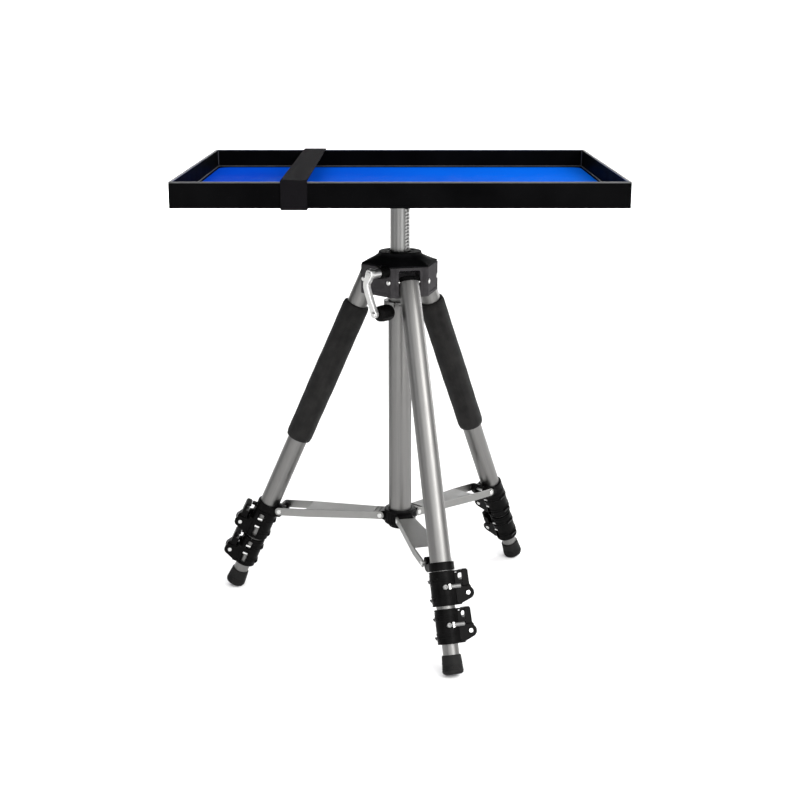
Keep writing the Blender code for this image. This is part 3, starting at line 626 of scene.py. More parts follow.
# hipped roof: from the hexagon's edge up to a round collar
for k in range(1, 9):
    f = k / 8
    layers.append((("mix", f), None, HEAD_Z1 + 1.6 + (CAP_Z1 - HEAD_Z1 - 1.6) * (f * 0.82 + 0.18 * f * f)))
layers += [("round", 27.2, CAP_Z1 + 0.5), ("round", 26.2, CAP_Z1 + 1.5), ("round", 25.7, CAP_Z1 + 2.6), ("round", 25.6, CAP_Z2 - 0.9), ("round", 25.3, CAP_Z2 - 0.3), ("round", 24.7, CAP_Z2),
           ("round", 16.6, CAP_Z2), ("round", 16.0, CAP_Z2 - 0.6), ("round", 15.2, CAP_Z2 - 0.6), ("round", 14.6, CAP_Z2), ("round", 13.2, CAP_Z2), ("round", 12.6, CAP_Z2 - 0.6)]
for kind, size, z in layers:
    ring = []
    for a in angles:
        way = Vector((cos(a), sin(a), 0))
        if kind == "hexagon":
            p = on_hexagon(a) * size
        elif kind == "round":
            p = way * size
        else:
            f = kind[1]
            r = on_hexagon(a).length * (1 - f) + 28.0 * f
            p = way * r
        ring.append(cap.verts.new((p.x, p.y, z)))
    rings.append(ring)
for low, high in zip(rings, rings[1:] + rings[:1]):
    for i in range(len(low)):
        j = (i + 1) % len(low)
        cap.faces.new((low[i], low[j], high[j], high[i]))
bmesh.ops.recalc_face_normals(cap, faces=cap.faces[:])
cap = cut(cap, rod(along_shaft(-3.2), along_shaft(3.2), 8.0, 32))
piece("head_cap", cap, "cap", "head", STAND, ["shoulder_cap"], sharp=30)

for name, azimuth in zip(LEG_NAMES, LEG_AZIMUTHS):
    turn = Matrix.Rotation(radians(azimuth), 4, "Z")
    pin = rod((HINGE_R, -HINGE_PIN_HALF, HINGE_Z), (HINGE_R, HINGE_PIN_HALF, HINGE_Z), HINGE_PIN_R, 28, 0.5)
    pin.transform(turn)
    for side in (-1, 1):
        flank = azimuth + side * 60
        head = turned(fillet([(0, -1.2), (3.1, -1.2), (3.1, 0.1), (2.3, 0.75), (0, 0.95)], [0, 0, 0.3, 0.6, 0], 3, closed=False), 32, closed=False)
        head.transform(
            Matrix.Rotation(radians(flank), 4, "Z") @ Matrix.Translation((40.55, -side * 20.6, HINGE_Z)) @ Matrix.Rotation(pi / 2, 4, "Y")
        )
        add(pin, head)
    piece(f"hinge_pin_{name}", pin, "steel", "head", STAND, [f"leg_hinge_pin_{name}"])

piece("centre_sleeve", sleeve(CENTRE_TUBE_R, 12.8, 107.6, CENTRE_TUBE_Z1, 0.35, 72), "tube", "head", STAND, ["centre_tube"])
ring = sleeve(19.5, CENTRE_TUBE_R + GAP, 382.0, 388.8, 0.7, 64)
ring = cut(ring, block((15, 30), (-0.7, 0.7), (370, 400)))
for z in (385.4,):
    screw_hole = rod((17.2, -30, z), (17.2, 30, z), 1.4, 20)
    ring = cut(ring, screw_hole)
ring.transform(Matrix.Rotation(radians(-110), 4, "Z"))
piece("clamp_ring", ring, "tube", "head", STAND, ["tube_clamp_ring"])
plug = turned(fillet([(0, 102.4), (14.0, 102.4), (14.0, 107.3), (12.4, 107.3), (12.4, 113.0), (0, 113.0)], [0, 1.6, 0.3, 0, 0.4, 0], 4, closed=False), 48, closed=False)
plug = cut(plug, prism(arc(0, 0, 7.0, 0, 330, 22), 100, 103.4))
piece("end_plug", plug, "plastic", "head", STAND, ["tube_end_plug"])

bearing_outline = fillet([(SHAFT_R + 0.4, 0), (7.3, 0), (7.3, 11.0), (SHAFT_R + 0.4, 11.0)], [0.2, 0.1, 0.8, 0.3], 3)
bearing = turned(bearing_outline, 48)
bearing.transform(Matrix.Translation(along_shaft(41.0)) @ shaft_dir.to_track_quat("Z", "Y").to_matrix().to_4x4())
piece("crank_boss", bearing, "plastic", "head", STAND, ["crank_bearing"])

# ---------------------------------------------------------------- column and rack

NOTCH, NOTCH_R, INNER_R, INNER_NOTCH, INNER_NOTCH_R = 2.8, 7.3, 10.5, 4.0, 6.1


def column_section(radius, half, depth, steps=56):
    a = asin(half / radius)
    points = [(depth, -half), (depth, half)]
    points += [
        (radius * cos(a + (2 * pi - 2 * a) * i / steps), radius * sin(a + (2 * pi - 2 * a) * i / steps))
        for i in range(steps + 1)
    ]
    return points


def hollow(outer, inner, z0, z1, lip=0.3):
    bm = bmesh.new()
    loops = [
        [bm.verts.new((x, y, z)) for x, y in outline]
        for outline, z in (
            (inset(outer, lip), z0), (outer, z0 + lip), (outer, z1 - lip), (inset(outer, lip), z1), (inner, z1), (inner, z0)
        )
    ]
    for a, b in zip(loops, loops[1:] + loops[:1]):
        for i in range(len(a)):
            j = (i + 1) % len(a)
            bm.faces.new((a[i], a[j], b[j], b[i]))
    bmesh.ops.recalc_face_normals(bm, faces=bm.faces[:])
    return bm


rack_turn = Matrix.Rotation(out, 4, "Z")
column = hollow(column_section(COLUMN_R, NOTCH, NOTCH_R), column_section(INNER_R, INNER_NOTCH, INNER_NOTCH_R), COLUMN_Z0, COLUMN_Z1)
column.transform(rack_turn)
piece("geared_column", column, "column", "column", STAND, ["column_tube"], sharp=35)

tip_half = TOOTH_PITCH / 4 - ADDENDUM * 0.364 - 0.08
root_half = TOOTH_PITCH / 4 + DEDENDUM * 0.364 - 0.08
first = -int((SHAFT_Z - (COLUMN_Z0 + 12)) // TOOTH_PITCH)
last = int((COLUMN_Z1 - 20 - SHAFT_Z) // TOOTH_PITCH)
rack = [(NOTCH_R + GAP, SHAFT_Z + first * TOOTH_PITCH - 4), (RACK_PITCH_R - DEDENDUM, SHAFT_Z + first * TOOTH_PITCH - 4)]
for k in range(first, last + 1):
    z = SHAFT_Z + k * TOOTH_PITCH
    rack += [
        (RACK_PITCH_R - DEDENDUM, z - root_half), (RACK_PITCH_R + ADDENDUM, z - tip_half),
        (RACK_PITCH_R + ADDENDUM, z + tip_half), (RACK_PITCH_R - DEDENDUM, z + root_half),
    ]
rack += [(RACK_PITCH_R - DEDENDUM, SHAFT_Z + last * TOOTH_PITCH + 4), (NOTCH_R + GAP, SHAFT_Z + last * TOOTH_PITCH + 4)]
rack = fillet(rack, 0.14, 2)
piece("toothed_rack", prism(rack, -RACK_HALF, RACK_HALF, rack_turn @ ALONG_Y), "steel", "column", STAND, ["column_rack"], sharp=40)

flange_profile = [(0, 515.2), (12.1, 515.2), (12.1, 500.8), (17.0, 500.8), (17.0, 515.4), (34.6, 516.8), (34.6, 522.0), (0, 522.0)]
flange = turned(fillet(flange_profile, [0, 0, 0.2, 0.8, 2.2, 0.9, 0.2, 0], 4, closed=False), 72, closed=False)
for k in range(4):
    a = radians(45 + 90 * k)
    flange = cut(flange, rod((25.5 * cos(a), 25.5 * sin(a), 505), (25.5 * cos(a), 25.5 * sin(a), 518.4), 3.3, 28))
# stiffening webs between the neck and the disc
for k in range(6):
    web = prism([(16.0, 503.8), (18.0, 503.8), (30.0, 516.2), (30.0, 518.8), (16.0, 518.8)], -0.9, 0.9, ALONG_Y)
    web.transform(Matrix.Rotation(radians(60 * k + 15), 4, "Z"))
    flange = join(flange, web)
piece("flange", flange, "plastic", "column", STAND, ["tray_flange"], sharp=30)
bolts = None
for k in range(4):
    a = radians(45 + 90 * k)
    head = turned(fillet([(0, 0), (2.7, 0), (2.7, 1.9), (0, 1.9)], [0, 0, 0.5, 0], 3, closed=False), 28, closed=False)
    head = cut(head, prism(arc(0, 0, 1.3, 0, 300, 5), 0.9, 3.0))
    head.transform(Matrix.Translation((25.5 * cos(a), 25.5 * sin(a), 518.3)) @ Matrix.Rotation(pi, 4, "X"))
    bolts = head if bolts is None else add(bolts, head)
piece("flange_bolts", bolts, "steel", "column", STAND)

# ---------------------------------------------------------------- tray

half_w, half_d = TRAY_W / 2, TRAY_D / 2


def rounded(w, d, r, steps):
    points = []
    for cx, cy, a in ((w - r, d - r, 0), (-w + r, d - r, 90), (-w + r, -d + r, 180), (w - r, -d + r, 270)):
        points += arc(cx, cy, r, a, a + 90, steps)
    return points


def stacked(layers):
    """A closed ring-by-ring shape; the first and last outlines are capped."""
    bm = bmesh.new()
    loops = [[bm.verts.new((x, y, z)) for x, y in o] for o, z in layers]
    for a, b in zip(loops, loops[1:]):
        for i in range(len(a)):
            j = (i + 1) % len(a)
            bm.faces.new((a[i], a[j], b[j], b[i]))
    bm.faces.new(loops[0][::-1])
    bm.faces.new(loops[-1])
    bmesh.ops.recalc_face_normals(bm, faces=bm.faces[:])
    return bm


def rect(grow, r, steps=6):
    return rounded(half_w + grow, half_d + grow, max(0.05, r), steps)


FLOOR_Z = TRAY_Z0 + 3.0
# height of the lighter band round the top of the walls, a painted highlight
HIGHLIGHT_BAND_HEIGHT = 1.5
pan_top = TRAY_Z1 - HIGHLIGHT_BAND_HEIGHT
pan_layers = [
    (rect(-0.9, 0.9), TRAY_Z0), (rect(-0.25, 1.4), TRAY_Z0 + 0.25), (rect(0, 1.6), TRAY_Z0 + 0.9),
    (rect(0, 1.6), TRAY_Z0 + 3.2), (rect(-0.25, 1.4), TRAY_Z0 + 3.35), (rect(-0.25, 1.4), TRAY_Z0 + 3.75), (rect(0, 1.6), TRAY_Z0 + 3.9),
    (rect(0, 1.6), pan_top - 0.2), (rect(-0.2, 1.4), pan_top),
    (rect(-TRAY_WALL + 0.2, 0.7), pan_top), (rect(-TRAY_WALL, 0.6), pan_top - 0.2),
    (rect(-TRAY_WALL, 0.6), FLOOR_Z + 1.2), (rect(-TRAY_WALL - 0.35, 0.6), FLOOR_Z + 0.35), (rect(-TRAY_WALL - 1.2, 0.6), FLOOR_Z),
]
piece("pan", stacked(pan_layers), "tray", "column", STAND, ["tray_pan"], sharp=30)


def ring_of(outline_at):
    """A closed band whose cross-section goes round once for every ring in outline_at."""
    bm = bmesh.new()
    loops = [[bm.verts.new((x, y, z)) for x, y in o] for o, z in outline_at]
    for a, b in zip(loops, loops[1:] + loops[:1]):
        for i in range(len(a)):
            j = (i + 1) % len(a)
            bm.faces.new((a[i], a[j], b[j], b[i]))
    bmesh.ops.recalc_face_normals(bm, faces=bm.faces[:])
    return bm


# lighter band that runs round the top of the walls: a painted highlight along the rim
highlight_band_section = fillet([(0, pan_top + 0.05), (0, TRAY_Z1), (-TRAY_WALL, TRAY_Z1), (-TRAY_WALL, pan_top + 0.05)], [0.25, 0.55, 0.55, 0.25], 4)
highlight_band = ring_of([(rect(g, max(0.5, 1.6 + g * 0.4)), z) for g, z in highlight_band_section])
piece("rim_highlight_band", highlight_band, "rim", "column", STAND, sharp=80, weighted=False)
# lighter beads along the foot of the walls and up the four inner corners: painted highlight lines on these inner edges
edge_highlight_section = [(-TRAY_WALL - 0.55 + 0.85 * cos(2 * pi * k / 10), FLOOR_Z + 3.5 + 0.85 * sin(2 * pi * k / 10)) for k in range(10)]
edge_highlight = ring_of([(rect(g, 0.8), z) for g, z in edge_highlight_section])
for sx in (-1, 1):
    for sy in (-1, 1):
        x, y = sx * (half_w - TRAY_WALL - 0.55), sy * (half_d - TRAY_WALL - 0.55)
        add(edge_highlight, rod((x, y, FLOOR_Z + 3.6), (x, y, pan_top - 0.3), 0.75, 12))
piece("wall_edge_highlights", edge_highlight, "edge_highlight", "column", STAND, sharp=80, weighted=False)

mat_top = FLOOR_Z + GAP + MAT_THICK


def mat_ring(grow, r=14.0):
    return rounded(half_w - TRAY_WALL - 2.5 + grow, half_d - TRAY_WALL - 2.5 + grow, r, 10)


# the mat: a plate with rounded corners and a soft upper edge
mat_bm = bmesh.new()
loops = []
for grow, z in ((0.0, FLOOR_Z + GAP), (0.0, mat_top - 0.7), (-0.2, mat_top - 0.25), (-0.8, mat_top)):
    loops.append([mat_bm.verts.new((x, y, z)) for x, y in mat_ring(grow)])
for a, b in zip(loops, loops[1:]):
    for i in range(len(a)):
        j = (i + 1) % len(a)
        mat_bm.faces.new((a[i], a[j], b[j], b[i]))
mat_bm.faces.new(loops[0][::-1])
mat_bm.faces.new(loops[-1])
bmesh.ops.recalc_face_normals(mat_bm, faces=mat_bm.faces[:])
piece("blue_mat", mat_bm, "mat", "column", STAND, ["tray_mat"], sharp=40)

# strap: a woven band pulled tight round the tray, one closed strip with rounded edges
strap_bm = bmesh.new()
uv = strap_bm.loops.layers.uv.new("UVMap")
reach, low, high = half_d + GAP, TRAY_Z0 - GAP, TRAY_Z1 + GAP
path = []
for cy, cz, a in ((reach, high, 0), (-reach, high, 90), (-reach, low, 180), (reach, low, 270)):
    for k in range(7):
        w = radians(a + 90 * k / 6)
        path.append((cy, cz, cos(w), sin(w)))
# extra points along the straights
full = []
for i, p in enumerate(path):
    full.append(p)
    q = path[(i + 1) % len(path)]
    span = sqrt((p[0] - q[0]) ** 2 + (p[1] - q[1]) ** 2)
    if span > 5:
        cuts = max(3, int(span / 6))
        for k in range(1, cuts):
            f = k / cuts
            full.append((p[0] + (q[0] - p[0]) * f, p[1] + (q[1] - p[1]) * f, p[2], p[3]))
# cross-section: flat band with soft selvedges
CROSS = []
for side in (1, -1):
    for k in range(5):
        w = radians(90 * side - side * 180 * k / 4) if side == 1 else radians(-90 + -180 * k / 4)
        CROSS.append((side, w))
section = []
edge = 0.62
for k in range(9):
    w = radians(90 - 180 * k / 8)
    section.append((STRAP_HALF - edge + edge * cos(w), STRAP_THICK / 2 + (STRAP_THICK / 2 - 0.04) * sin(w)))
for x in (9.0, 4.5, 0.0, -4.5, -9.0):
    section.append((x, 0.04))
for k in range(9):
    w = radians(-90 - 180 * k / 8)
    section.append((-STRAP_HALF + edge + edge * cos(w), STRAP_THICK / 2 + (STRAP_THICK / 2 - 0.04) * sin(w)))
for x in (-9.0, -4.5, 0.0, 4.5, 9.0):
    section.append((x, STRAP_THICK - 0.04))
length_at = [0.0]
for p, q in zip(full, full[1:] + full[:1]):
    length_at.append(length_at[-1] + sqrt((p[0] + p[2] * 0.7 - q[0] - q[2] * 0.7) ** 2 + (p[1] + p[3] * 0.7 - q[1] - q[3] * 0.7) ** 2))
rings = []
for i, (cy, cz, ny, nz) in enumerate(full):
    rings.append([strap_bm.verts.new((STRAP_X + x, cy + ny * t, cz + nz * t)) for x, t in section])
around = [0.0]
for (x0, t0), (x1, t1) in zip(section, section[1:] + section[:1]):
    around.append(around[-1] + sqrt((x0 - x1) ** 2 + (t0 - t1) ** 2))
for i in range(len(rings)):
    a, b = rings[i], rings[(i + 1) % len(rings)]
    for k in range(len(section)):
        m = (k + 1) % len(section)
        face = strap_bm.faces.new((a[k], a[m], b[m], b[k]))
        for loop, (u, v) in zip(face.loops, ((around[k], length_at[i]), (around[k + 1], length_at[i]), (around[k + 1], length_at[i + 1]), (around[k], length_at[i + 1]))):
            loop[uv].uv = (u / 1000, v / 1000)
bmesh.ops.recalc_face_normals(strap_bm, faces=strap_bm.faces[:])
strap = piece("webbing_strap", strap_bm, "strap", "column", STAND, ["tray_strap"], sharp=60, weighted=False)

# ---------------------------------------------------------------- crank

nodes["crank_pinion"].data.materials.clear()
nodes["crank_pinion"].data.materials.append(MATERIALS["steel"])

# a smooth swept arm: hub, bow and grip seat, oval in section
ARM_LINE = [(0.3, 0.8, 5.2), (2.4, -4.6, 4.7), (5.0, -9.6, 4.1), (5.6, -14.6, 3.9), (3.6, -21.5, 3.8), (-0.4, -31.0, 3.8), (-4.2, -39.6, 4.1), (-6.9, -45.4, 4.6)]


def smooth_line(points, steps):
    """Catmull-Rom through the points."""
    pts = [points[0]] + list(points) + [points[-1]]
    line = []
    for i in range(1, len(pts) - 2):
        for k in range(steps):
            t = k / steps
            line.append(tuple(
                0.5 * (2 * p1 + (p2 - p0) * t + (2 * p0 - 5 * p1 + 4 * p2 - p3) * t * t + (3 * p1 - p0 - 3 * p2 + p3) * t ** 3)
                for p0, p1, p2, p3 in zip(*pts[i - 1:i + 3])
            ))
    line.append(tuple(points[-1]))
    return line


line = smooth_line(ARM_LINE, 5)
lefts, rights = [], []
for i, (x, y, w) in enumerate(line):
    a, b = line[max(0, i - 1)], line[min(len(line) - 1, i + 1)]
    way = Vector((b[0] - a[0], b[1] - a[1])).normalized()
    side = Vector((-way.y, way.x))
    lefts.append((x + side.x * w, y + side.y * w))
    rights.append((x - side.x * w, y - side.y * w))
end = Vector(line[-1][:2])
way = (end - Vector(line[-3][:2])).normalized()
side = Vector((-way.y, way.x))
nose = [(end + side * 4.6 * cos(radians(a)) + way * 5.0 * sin(radians(a)))[:] for a in range(15, 180, 15)]
top = Vector(line[0][:2])
tway = (Vector(line[2][:2]) - top).normalized()
tside = Vector((-tway.y, tway.x))
crown = [(top - tside * 5.2 * cos(radians(a)) - tway * 5.8 * sin(radians(a)))[:] for a in range(15, 180, 15)]
arm = prism([tuple(p) for p in lefts + nose + rights[::-1] + crown], -69.5, -63.0, chamfer=1.5, rounds=4)
hub_part = turned(fillet([(0, -52.4), (5.3, -52.4), (5.3, -66.0), (0, -66.0)], [0, 0.8, 0, 0], 4, closed=False), 48, closed=False)
arm = join(arm, hub_part)
arm = cut(arm, rod((0, 0, -45.0), (0, 0, -80.0), SHAFT_R + 0.3, 32))
# recess along the outer face of the arm, as castings have
inner_l, inner_r = [], []
for i, (x, y, w) in enumerate(line):
    if not 9 <= i <= len(line) - 9:
        continue
    a, b = line[i - 1], line[i + 1]
    way2 = Vector((b[0] - a[0], b[1] - a[1])).normalized()
    s2 = Vector((-way2.y, way2.x))
    inner_l.append((x + s2.x * (w - 2.2), y + s2.y * (w - 2.2)))
    inner_r.append((x - s2.x * (w - 2.2), y - s2.y * (w - 2.2)))
recess = prism(fillet(inner_l + inner_r[::-1], 1.6, 3), -75.0, -68.8)
arm = cut(arm, recess)
piece("winding_arm", arm, "crank", "crank", crank_frame, ["crank_arm"], sharp=34)
shaft = rod((0, 0, -2.7), (0, 0, -70.5), SHAFT_R, 32, 0.4)
shaft = cut(shaft, prism([(-3.0, -0.45), (3.0, -0.45), (3.0, 0.45), (-3.0, 0.45)], -72, -69.7))
piece("winding_shaft", shaft, "steel", "crank", crank_frame, ["crank_shaft"])

grip_outline = fillet([(0, -62.5), (6.8, -62.5), (8.9, -60.8), (9.6, -56.0), (9.6, -48.0), (8.9, -43.4), (6.8, -41.7), (0, -41.7)], [0, 0.8, 2, 3, 3, 2, 1.2, 0], 4, closed=False)
grip = bmesh.new()
STEPS = 96
gr = []
for r, z in grip_outline:
    if r < 1e-6:
        gr.append([grip.verts.new((0, 0, z))])
        continue
    ring = []
    for k in range(STEPS):
        a = 2 * pi * k / STEPS
        depth = 0.42 * max(0.0, min(1.0, (z + 60.6) / 2.5, (-43.4 - z) / 2.5)) if r > 8.2 else 0.0
        rr = r - depth * (0.5 - 0.5 * cos(a * 16)) ** 3
        ring.append(grip.verts.new((rr * cos(a), rr * sin(a), z)))
    gr.append(ring)
for a, b in zip(gr, gr[1:]):
    for k in range(STEPS):
        m = (k + 1) % STEPS
        if len(a) == 1:
            grip.faces.new((a[0], b[m], b[k]))
        elif len(b) == 1:
            grip.faces.new((a[k], a[m], b[0]))
        else:
            grip.faces.new((a[k], a[m], b[m], b[k]))
bmesh.ops.recalc_face_normals(grip, faces=grip.faces[:])
grip.transform(Matrix.Translation((GRIP_X, GRIP_Y, 0)))
piece("winding_grip", grip, "plastic", "crank_handle", crank_frame, ["crank_grip"], sharp=40, weighted=False)
rivet = turned(fillet([(0, -71.4), (2.6, -71.4), (3.4, -70.4), (3.4, -69.2), (0, -69.2)], [0, 0.5, 0.5, 0, 0], 3, closed=False), 32, closed=False)
rivet.transform(Matrix.Translation((GRIP_X, GRIP_Y, 0)))
piece("winding_rivet", rivet, "steel", "crank", crank_frame)

# ---------------------------------------------------------------- spreader hub

HUB = STAND @ Matrix.Translation((0, 0, HUB_Z))
hub = sleeve(HUB_R, CENTRE_TUBE_R - 2, -HUB_HALF, HUB_HALF, 1.0, 64)
for azimuth in LEG_AZIMUTHS:
    turn = Matrix.Rotation(radians(azimuth), 4, "Z")
    lug = arc(HUB_PIN_R, 0, 4.6, -90, 90, 12) + [(16.0, 7.0), (16.0, -7.0)]
    hub = join(hub, prism(lug, -9.1, 9.1, turn @ ALONG_Y, chamfer=0.5))
hub = cut(hub, rod((0, 0, -30), (0, 0, 30), CENTRE_TUBE_R + GAP, 64))
for azimuth in LEG_AZIMUTHS:
    turn = Matrix.Rotation(radians(azimuth), 4, "Z")
    hole = rod((HUB_PIN_R, -20, 0), (HUB_PIN_R, 20, 0), 2.3, 24)
    hole.transform(turn)
    hub = cut(hub, hole)
    # vertical flutes between the lugs
    for offset in (46, 60, 74):
        flute = rod((HUB_R + 1.1, 0, -6.4), (HUB_R + 1.1, 0, 6.4), 2.0, 20)
        flute.transform(Matrix.Rotation(radians(azimuth + offset), 4, "Z"))
        hub = cut(hub, flute)
piece("hub", hub, "plastic", "spreader", HUB, ["spreader_hub"], sharp=30)

# ---------------------------------------------------------------- braces


def brace_shape():
    inner, r = BRACE_HALF, 5.0
    neck, flare = 10.0, BRACE_LENGTH - FORK + 0.5
    plan = [(-6, -inner), (neck, -inner), (flare, -EAR_HALF), (BRACE_LENGTH + 8, -EAR_HALF)]
    plan += [(x, -y) for x, y in reversed(plan)]
    plan = fillet(plan, [0, 9, 9, 0, 0, 9, 9, 0], 6)
    side = arc(0, 0, r, 90, 270, 14) + [(BRACE_LENGTH, -r)] + arc(BRACE_LENGTH, 0, r, -90, 90, 14)[1:]
    body = prism(plan, -BRACE_DEPTH, BRACE_DEPTH, chamfer=0.9, rounds=4)
    keep = prism(side, -30, 30, ALONG_Y)
    body = join(body, keep, "INTERSECT")
    sheet = BRACE_SHEET
    slope = (EAR_HALF - inner) / (flare - neck)
    lag = sheet * (sqrt(1 + slope * slope) - 1) / slope
    inside = [(-20, -inner + sheet), (neck + lag, -inner + sheet), (flare + lag, -EAR_HALF + sheet), (BRACE_LENGTH + 20, -EAR_HALF + sheet)]
    inside += [(x, -y) for x, y in reversed(inside)]
    inside = fillet(inside, [0, 8, 9, 0, 0, 9, 8, 0], 6)
    body = cut(body, prism(inside, -20, BRACE_DEPTH - sheet))
    mouth = fillet([(BRACE_LENGTH - FORK, -EAR_HALF + sheet), (BRACE_LENGTH + 20, -EAR_HALF + sheet), (BRACE_LENGTH + 20, EAR_HALF - sheet), (BRACE_LENGTH - FORK, EAR_HALF - sheet)], [4, 0, 0, 4], 6)
    body = cut(body, prism(mouth, -20, 20))
    body = cut(body, block((-20, 7.5), (-inner + sheet, inner - sheet), (-20, 20)))
    for x in (0, BRACE_LENGTH):
        body = cut(body, rod((x, -40, 0), (x, 40, 0), 2.3, 24))
    return body


def disc(at_y, radius, proud, side):
    """A domed rivet head lying on a Y face."""
    head = turned(fillet([(0, 0), (radius, 0), (radius * 0.86, proud), (0, proud * 1.15)], [0, 0.1, proud * 0.7, 0], 3, closed=False), 28, closed=False)
    head.transform(Matrix.Translation((0, at_y, 0)) @ Matrix.Rotation(-side * pi / 2, 4, "X"))
    return head


brace_mesh = None
for name, azimuth in zip(LEG_NAMES, LEG_AZIMUTHS):
    at = HUB @ Matrix.Rotation(radians(azimuth), 4, "Z") @ Matrix.Translation((HUB_PIN_R, 0, 0))
    pin = rod((0, -10.8, 0), (0, 10.8, 0), 2.0, 28, 0.2)
    piece(f"hub_rivet_{name}", pin, "steel", "spreader", at, [f"hub_pin_{name}"])
    swing = at @ Matrix.Rotation(radians(BRACE_TILT), 4, "Y")
    if brace_mesh is None:
        made = piece(f"brace_arm_{name}", brace_shape(), "brace", f"brace_arm_{name}", swing, [f"brace_{name}"], sharp=30)
        brace_mesh = made.data
    else:
        made = bpy.data.objects.new(f"brace_arm_{name}", brace_mesh)
        scene.collection.objects.link(made)
        made.matrix_world = metres(swing)
        step = made.modifiers.new("Weighted Normal", "WEIGHTED_NORMAL")
        step.keep_sharp = True
        step.weight = 60
        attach(made, f"brace_arm_{name}")
        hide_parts(f"brace_{name}")
    heads = None
    for side in (-1, 1):
        head = disc(side * (BRACE_HALF - 0.05), 3.1, 0.9, side)
        heads = head if heads is None else add(heads, head)
    for side in (-1, 1):
        head = disc(side * (EAR_HALF - 0.05), 3.1, 0.9, side)
        head.transform(Matrix.Translation((BRACE_LENGTH, 0, 0)))
        add(heads, head)
    piece(f"brace_rivets_{name}", heads, "steel", f"brace_arm_{name}", swing)

# ---------------------------------------------------------------- legs


def collar_shape():
    body = sleeve(COLLAR_R, UPPER_R - 1, -COLLAR_S1, -COLLAR_S0, 0.7, 64)
    side = [(-3.0, -COLLAR_S1 + 0.2), (-15.0, -COLLAR_S1 + 0.2), (-21.5, -333.4), (-24.2, -328.4), (-24.2, -323.2),
            (-21.6, -319.4), (-17.5, -318.4), (-14.6, -320.6), (-12.0, -327.4), (-3.0, -327.4)]
    side = fillet(side, [0, 1.5, 3, 3, 3, 3, 2, 1.5, 1, 0], 4)
    body = join(body, prism(side, -13.4, 13.4, ALONG_Y, chamfer=0.7))
    # saddle between the two cheeks of the lug
    body = cut(body, prism(fillet([(-30, -6.5), (-19.0, -6.5), (-19.0, 6.5), (-30, 6.5)], [0, 2, 2, 0], 4), -340, -310))
    body = cut(body, rod((0, 0, -300), (0, 0, -350), UPPER_R + GAP, 64))
    return cut(body, rod((-PIN_X, -30, -PIN_S), (-PIN_X, 30, -PIN_S), 2.3, 24))


